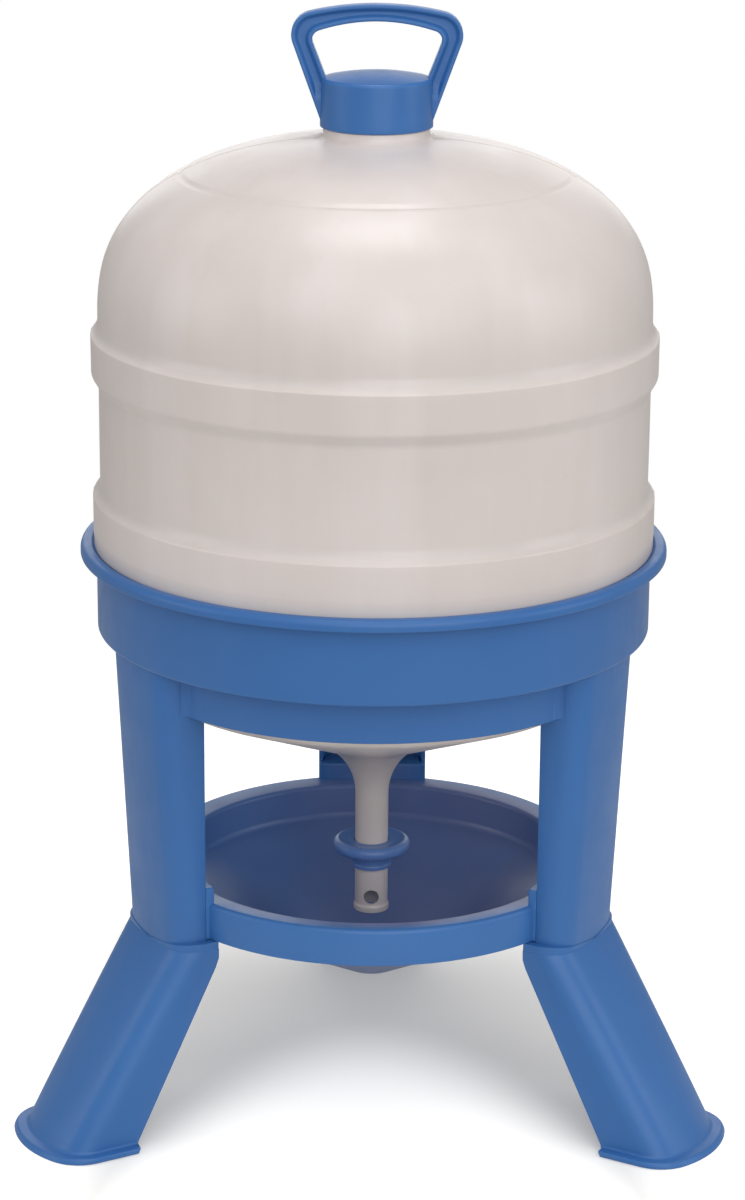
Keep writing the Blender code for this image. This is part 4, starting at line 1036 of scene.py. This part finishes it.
def make_cap():
    """Screw cap with a domed top and its loop handle moulded on."""
    edge_z = CAP_SEAT_Z + CAP_EDGE_THICKNESS
    crown_z = edge_z + CAP_CROWN
    crown_edge = CAP_RADIUS - CAP_TAPER - CAP_EDGE_ROUNDING
    crown_radius = (crown_edge ** 2 + CAP_CROWN ** 2) / (2.0 * CAP_CROWN)
    crown_angle = math.degrees(math.asin(crown_edge / crown_radius))
    profile = [(0.0, CAP_BASE_Z)]
    profile += arc((CAP_RADIUS - CAP_FOOT_ROUNDING, CAP_BASE_Z + CAP_FOOT_ROUNDING),
                   CAP_FOOT_ROUNDING, -90.0, 0.0, 5)
    profile += arc((crown_edge, edge_z - CAP_EDGE_ROUNDING), CAP_EDGE_ROUNDING, 0.0,
                   CAP_EDGE_TURN, 10)
    crown = arc((0.0, crown_z - crown_radius), crown_radius, 90.0 - crown_angle, 90.0, 24)
    profile += crown[1:-1] + [(0.0, crown_z)]
    cap = turned("cap_moulding", divided(profile, longest=0.004), CAP_SEGMENTS, closed=False)
    combined(cap, [make_handle()], "UNION")
    below_z = CAP_BASE_Z - CAP_WALL
    ceiling_z = crown_z - CAP_TOP_THICKNESS
    bore = [(0.0, below_z), (CAP_BORE_RADIUS, below_z), (CAP_BORE_RADIUS, CAP_SEAT_Z),
            (GASKET_LAP_RADIUS, CAP_SEAT_Z),
            (GASKET_LAP_RADIUS / 2.0, (CAP_SEAT_Z + 3.0 * ceiling_z) / 4.0), (0.0, ceiling_z)]
    cavity = turned("cap_bore", bore, CAP_SEGMENTS, closed=False)
    return combined(cap, [cavity], "DIFFERENCE")


# Feet

def foot_outline(share, grow, inner_inset=0.0):
    """Outline of the foot at a share of its height, grown all round by a distance."""
    size = [between(sole, top, share) for sole, top in zip(FOOT_SOLE_SIZE, FOOT_TOP_SIZE)]
    upright = min(share, 1.0 - FOOT_UPRIGHT / FOOT_TOP_Z)
    inner = between(FOOT_SOLE_INNER, FOOT_TOP_INNER, upright) + inner_inset
    return channel_path(size, inner, grow)


def foot_levels():
    """Outlines up the outside of the foot: lip, fillet, splayed wall and rounded shoulder."""
    edge = SOLE_LIP - SOLE_LIP_ROUNDING
    lip = arc((edge, SOLE_LIP_ROUNDING), SOLE_LIP_ROUNDING, -90.0, 0.0, 5)
    lip += arc((edge, SOLE_LIP_THICKNESS - SOLE_LIP_ROUNDING), SOLE_LIP_ROUNDING, 0.0, 90.0, 5)
    first = SOLE_LIP_THICKNESS + SOLE_LIP_FILLET
    last = FOOT_TOP_Z - FOOT_TOP_ROUNDING
    wall = arc((SOLE_LIP_FILLET, first), SOLE_LIP_FILLET, 270.0, 180.0, 8)
    wall += [(0.0, between(first, last, step / FOOT_STEPS)) for step in range(1, FOOT_STEPS)]
    wall += arc((-FOOT_TOP_ROUNDING, last), FOOT_TOP_ROUNDING, 0.0, 90.0, 7)
    return ([(foot_outline(z / FOOT_TOP_Z, grow, SOLE_LIP_INSET), z) for grow, z in lip]
            + [(foot_outline(z / FOOT_TOP_Z, grow), z) for grow, z in wall])


def pad_path():
    """Outline of the foot's pad: the tongue's front part and a strip on both sides of it."""
    outer = COLUMN_INNER - PLUG_CLEARANCE
    inner = LEDGE_INNER + PAD_INSET
    side = FOOT_TOP_HALF_WIDTH - PAD_INSET
    plug = channel_path(COLUMN_FOOT_SIZE, outer, -PLUG_INSET)
    return [(inner, side), (outer, side)] + plug + [(outer, -side), (inner, -side)]


def make_foot_collar(name, angle):
    """Low collar round the column's foot: as high as the pad at the sides, lowest in front."""
    base = FOOT_TOP_Z - FOOT_WALL / 2.0
    end = COLUMN_INNER - 2.0 * PLUG_CLEARANCE
    near = channel_path(COLUMN_FOOT_SIZE, end, FOOT_COLLAR_PLAY)
    far = channel_path((FOOT_TOP_HALF_WIDTH - PAD_INSET, FOOT_TOP_REACH - PAD_INSET,
                        FOOT_TOP_CORNER, COLUMN_FACE_RADIUS), end)
    splay = (FOOT_SOLE_REACH - FOOT_TOP_REACH) / FOOT_TOP_Z
    sections = []
    for inner, outer in zip(near, far):
        share = between(FOOT_COLLAR_SHARE, 1.0, min(abs(inner[1]) / COLUMN_HALF_WIDTH, 1.0))
        rise = (FOOT_PAD_Z - FOOT_TOP_Z) * share
        rim_z = FOOT_TOP_Z + rise
        leaning = Vector(outer)
        if outer[0] > end:
            leaning.x -= min(splay * rise, (outer[0] - inner[0]) / 2.0)
        shoulder = leaning - (leaning - Vector(inner)).normalized() * FOOT_COLLAR_ROUNDING
        section = []
        for place, height in ((inner, base), (inner, rim_z), (shoulder, rim_z),
                              (leaning, rim_z - FOOT_COLLAR_ROUNDING), (outer, FOOT_TOP_Z),
                              (outer, base)):
            section += around_leg([tuple(place)], height, angle)
        sections.append(section)
    return lofted(name, sections)


def make_foot(side, angle):
    """Splayed channel foot, open inwards and below, with a peg for the trough's tongue."""
    name = "foot_" + side
    base = FOOT_TOP_Z - FOOT_WALL / 2.0
    inset = TONGUE_WALL + PLUG_CLEARANCE
    foot = leg_loft(name + "_moulding", angle, foot_levels())
    pad = leg_loft(name + "_pad", angle, [(pad_path(), base), (pad_path(), FOOT_PAD_Z)])
    peg = tongue_block(name + "_peg", angle, inset, base, PEG_TOP_Z, 5)
    combined(foot, [pad, peg, make_foot_collar(name + "_collar", angle)], "UNION")
    wall_share = FOOT_WALL / FOOT_TOP_Z
    channel = leg_loft(name + "_channel", angle,
                       [(foot_outline(share, -FOOT_WALL, -FOOT_WALL), FOOT_TOP_Z * share)
                        for share in (-wall_share, 0.5, 1.0 - wall_share)])
    hollow = tongue_block(name + "_hollow", angle, inset + PEG_WALL,
                          FOOT_TOP_Z - 2.0 * FOOT_WALL, PEG_TOP_Z - PEG_WALL)
    return combined(foot, [channel, hollow], "DIFFERENCE")


# Studio

def make_world():
    """Surroundings that the camera sees as white, and that light the object more softly."""
    world = bpy.data.worlds.new("studio")
    bpy.context.scene.world = world
    world.use_nodes = True
    tree = world.node_tree
    seen = tree.nodes["Background"]
    lighting = tree.nodes.new("ShaderNodeBackground")
    for background, tint, strength in ((seen, SEEN_WHITE, 1.0), (lighting, WORLD_TINT, WORLD_STRENGTH)):
        background.inputs["Color"].default_value = tint
        background.inputs["Strength"].default_value = strength
    path = tree.nodes.new("ShaderNodeLightPath")
    mix = tree.nodes.new("ShaderNodeMixShader")
    tree.links.new(path.outputs["Is Camera Ray"], mix.inputs[0])
    tree.links.new(lighting.outputs[0], mix.inputs[1])
    tree.links.new(seen.outputs[0], mix.inputs[2])
    tree.links.new(mix.outputs[0], tree.nodes["World Output"].inputs["Surface"])


def make_floor():
    """Round floor that keeps the lamps' shadow, adds a painted shadow behind the feet where less white
    is added for the camera, and fades into the white surroundings.
    """
    mesh_data = bmesh.new()
    bmesh.ops.create_circle(mesh_data, cap_ends=True, segments=96, radius=FLOOR_RADIUS)
    floor = new_object("floor", mesh_data)
    floor.location = (0.0, AXIS_Y, -FLOOR_GAP)
    nodes = Nodes("floor_white")
    tree = nodes.tree
    tree.nodes.remove(nodes.shader)
    diffuse = nodes.add("ShaderNodeBsdfDiffuse", {"Color": (0.81, 0.80, 0.77, 1.0)})
    place = nodes.add("ShaderNodeSeparateXYZ", {0: nodes.coordinates.outputs["Object"]}).outputs
    # painted shadow: the white added for the camera is less in a soft zone behind and between the feet
    across = nodes.math("ABSOLUTE", place[0], 0.0)
    bend = nodes.math("MULTIPLY", nodes.math("MULTIPLY", across, across), SHADOW_CURVE)
    behind = nodes.math("SUBTRACT", nodes.math("ADD", place[1], bend), SHADOW_FRONT_Y)
    in_front = nodes.span(behind, *SHADOW_SOFTNESS, 0.0, 1.0, smooth=True)
    beside = nodes.span(across, *SHADOW_SIDES, 0.0, 1.0, smooth=True)
    beyond = nodes.span(place[1], *SHADOW_BACK, 0.0, 1.0, smooth=True)
    clear_of = nodes.math("MAXIMUM", nodes.math("MAXIMUM", in_front, beside), beyond)
    light = nodes.span(clear_of, 0.0, 1.0, *FLOOR_LIFT)
    path = nodes.add("ShaderNodeLightPath")
    lift = nodes.add("ShaderNodeEmission",
                     {"Strength": nodes.math("MULTIPLY", path.outputs["Is Camera Ray"], light)})
    white = nodes.add("ShaderNodeAddShader", {0: diffuse.outputs[0], 1: lift.outputs[0]})
    clear = nodes.add("ShaderNodeBsdfTransparent")
    length = nodes.add("ShaderNodeVectorMath", {0: nodes.coordinates.outputs["Object"]},
                       operation="LENGTH")
    fade = nodes.span(length.outputs["Value"], *FLOOR_FADE, 0.0, 1.0, smooth=True)
    mix = nodes.add("ShaderNodeMixShader", {0: fade, 1: white.outputs[0], 2: clear.outputs[0]})
    tree.links.new(mix.outputs[0], tree.nodes["Material Output"].inputs["Surface"])
    floor.data.materials.append(nodes.material)


def make_lights():
    """Soft rectangular lamps round the object, all pointing at its middle."""
    target = Vector(LAMP_TARGET)
    for name, (azimuth, elevation, distance, size, power) in LAMPS.items():
        light = bpy.data.lights.new(name, "AREA")
        light.shape = "RECTANGLE"
        light.size, light.size_y = size
        light.energy = power
        around = math.radians(azimuth)
        up = math.radians(elevation)
        away = Vector((math.sin(around) * math.cos(up), -math.cos(around) * math.cos(up), math.sin(up)))
        lamp = linked(name, light)
        lamp.location = target + away * distance
        lamp.rotation_euler = (-away).to_track_quat("-Z", "Y").to_euler()


def make_camera():
    """Camera at the photograph's place and angle."""
    data = bpy.data.cameras.new("camera")
    data.sensor_fit = "AUTO"
    data.sensor_width = SENSOR_LONG_SIDE
    data.lens = CAMERA_FOCAL_PIXELS * SENSOR_LONG_SIDE / PHOTO_HEIGHT
    data.shift_x = -CAMERA_CENTRE_X / PHOTO_HEIGHT
    camera = linked("camera", data)
    camera.rotation_mode = "ZYX"
    camera.location = (0.0, AXIS_Y - CAMERA_DISTANCE, CAMERA_HEIGHT)
    camera.rotation_euler = (math.radians(90.0 - CAMERA_PITCH), 0.0, math.radians(CAMERA_ROLL))
    bpy.context.scene.camera = camera


def finished(piece, body, slot, material, *nodes):
    """Gives a piece its material and body, and hides the nodes that it stands for. Its slot is not
    used.
    """
    piece.data.materials.clear()
    piece.data.materials.append(material)
    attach(piece, body)
    if nodes:
        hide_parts(*nodes)


make_camera()
make_world()
make_lights()
make_floor()

blue = blue_plastic("blue_polypropylene", colour(52, 105, 169), 0.39)
# Painted shade and reflection for the bowl: a dull reddish-violet tint inside the trough's rim.
painted_bowl_shade = (colour(132, 122, 148), (TROUGH_RIM_INNER + 0.006, TROUGH_RIM_INNER + 0.013), 0.50)
# The trough's blue is painted a little lighter than the same plastic on the stand and cap: painted
# light for its shaded bowl.
trough_blue = blue_plastic("trough_polypropylene", colour(56, 109, 173), 0.36, painted_bowl_shade)
shutoff_blue = blue_plastic("shutoff_polypropylene", colour(92, 128, 190), 0.30)
milky = tank_plastic()

tank_pieces = make_tank()
finished(tank_pieces[0], "tank", "tank_plastic", milky, "tank")
for extra in tank_pieces[1:]:
    finished(extra, "tank", "tank_plastic", milky)
finished(make_stand(), "stand", "blue_plastic", blue, "stand")
finished(make_trough(), "trough", "blue_plastic", trough_blue, "trough")
finished(make_shutoff_ring(), "shutoff", "shutoff_plastic", shutoff_blue, "shutoff_ring")
finished(make_cap(), "cap", "blue_plastic", blue, "cap")
for leg, leg_angle in LEG_ANGLES.items():
    finished(make_foot(leg, leg_angle), "feet", "blue_plastic", blue, "foot_" + leg)
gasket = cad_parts["cap_gasket"]
gasket.data.materials.clear()
gasket.data.materials.append(gasket_rubber())

bpy.context.scene.view_settings.view_transform = "Standard"
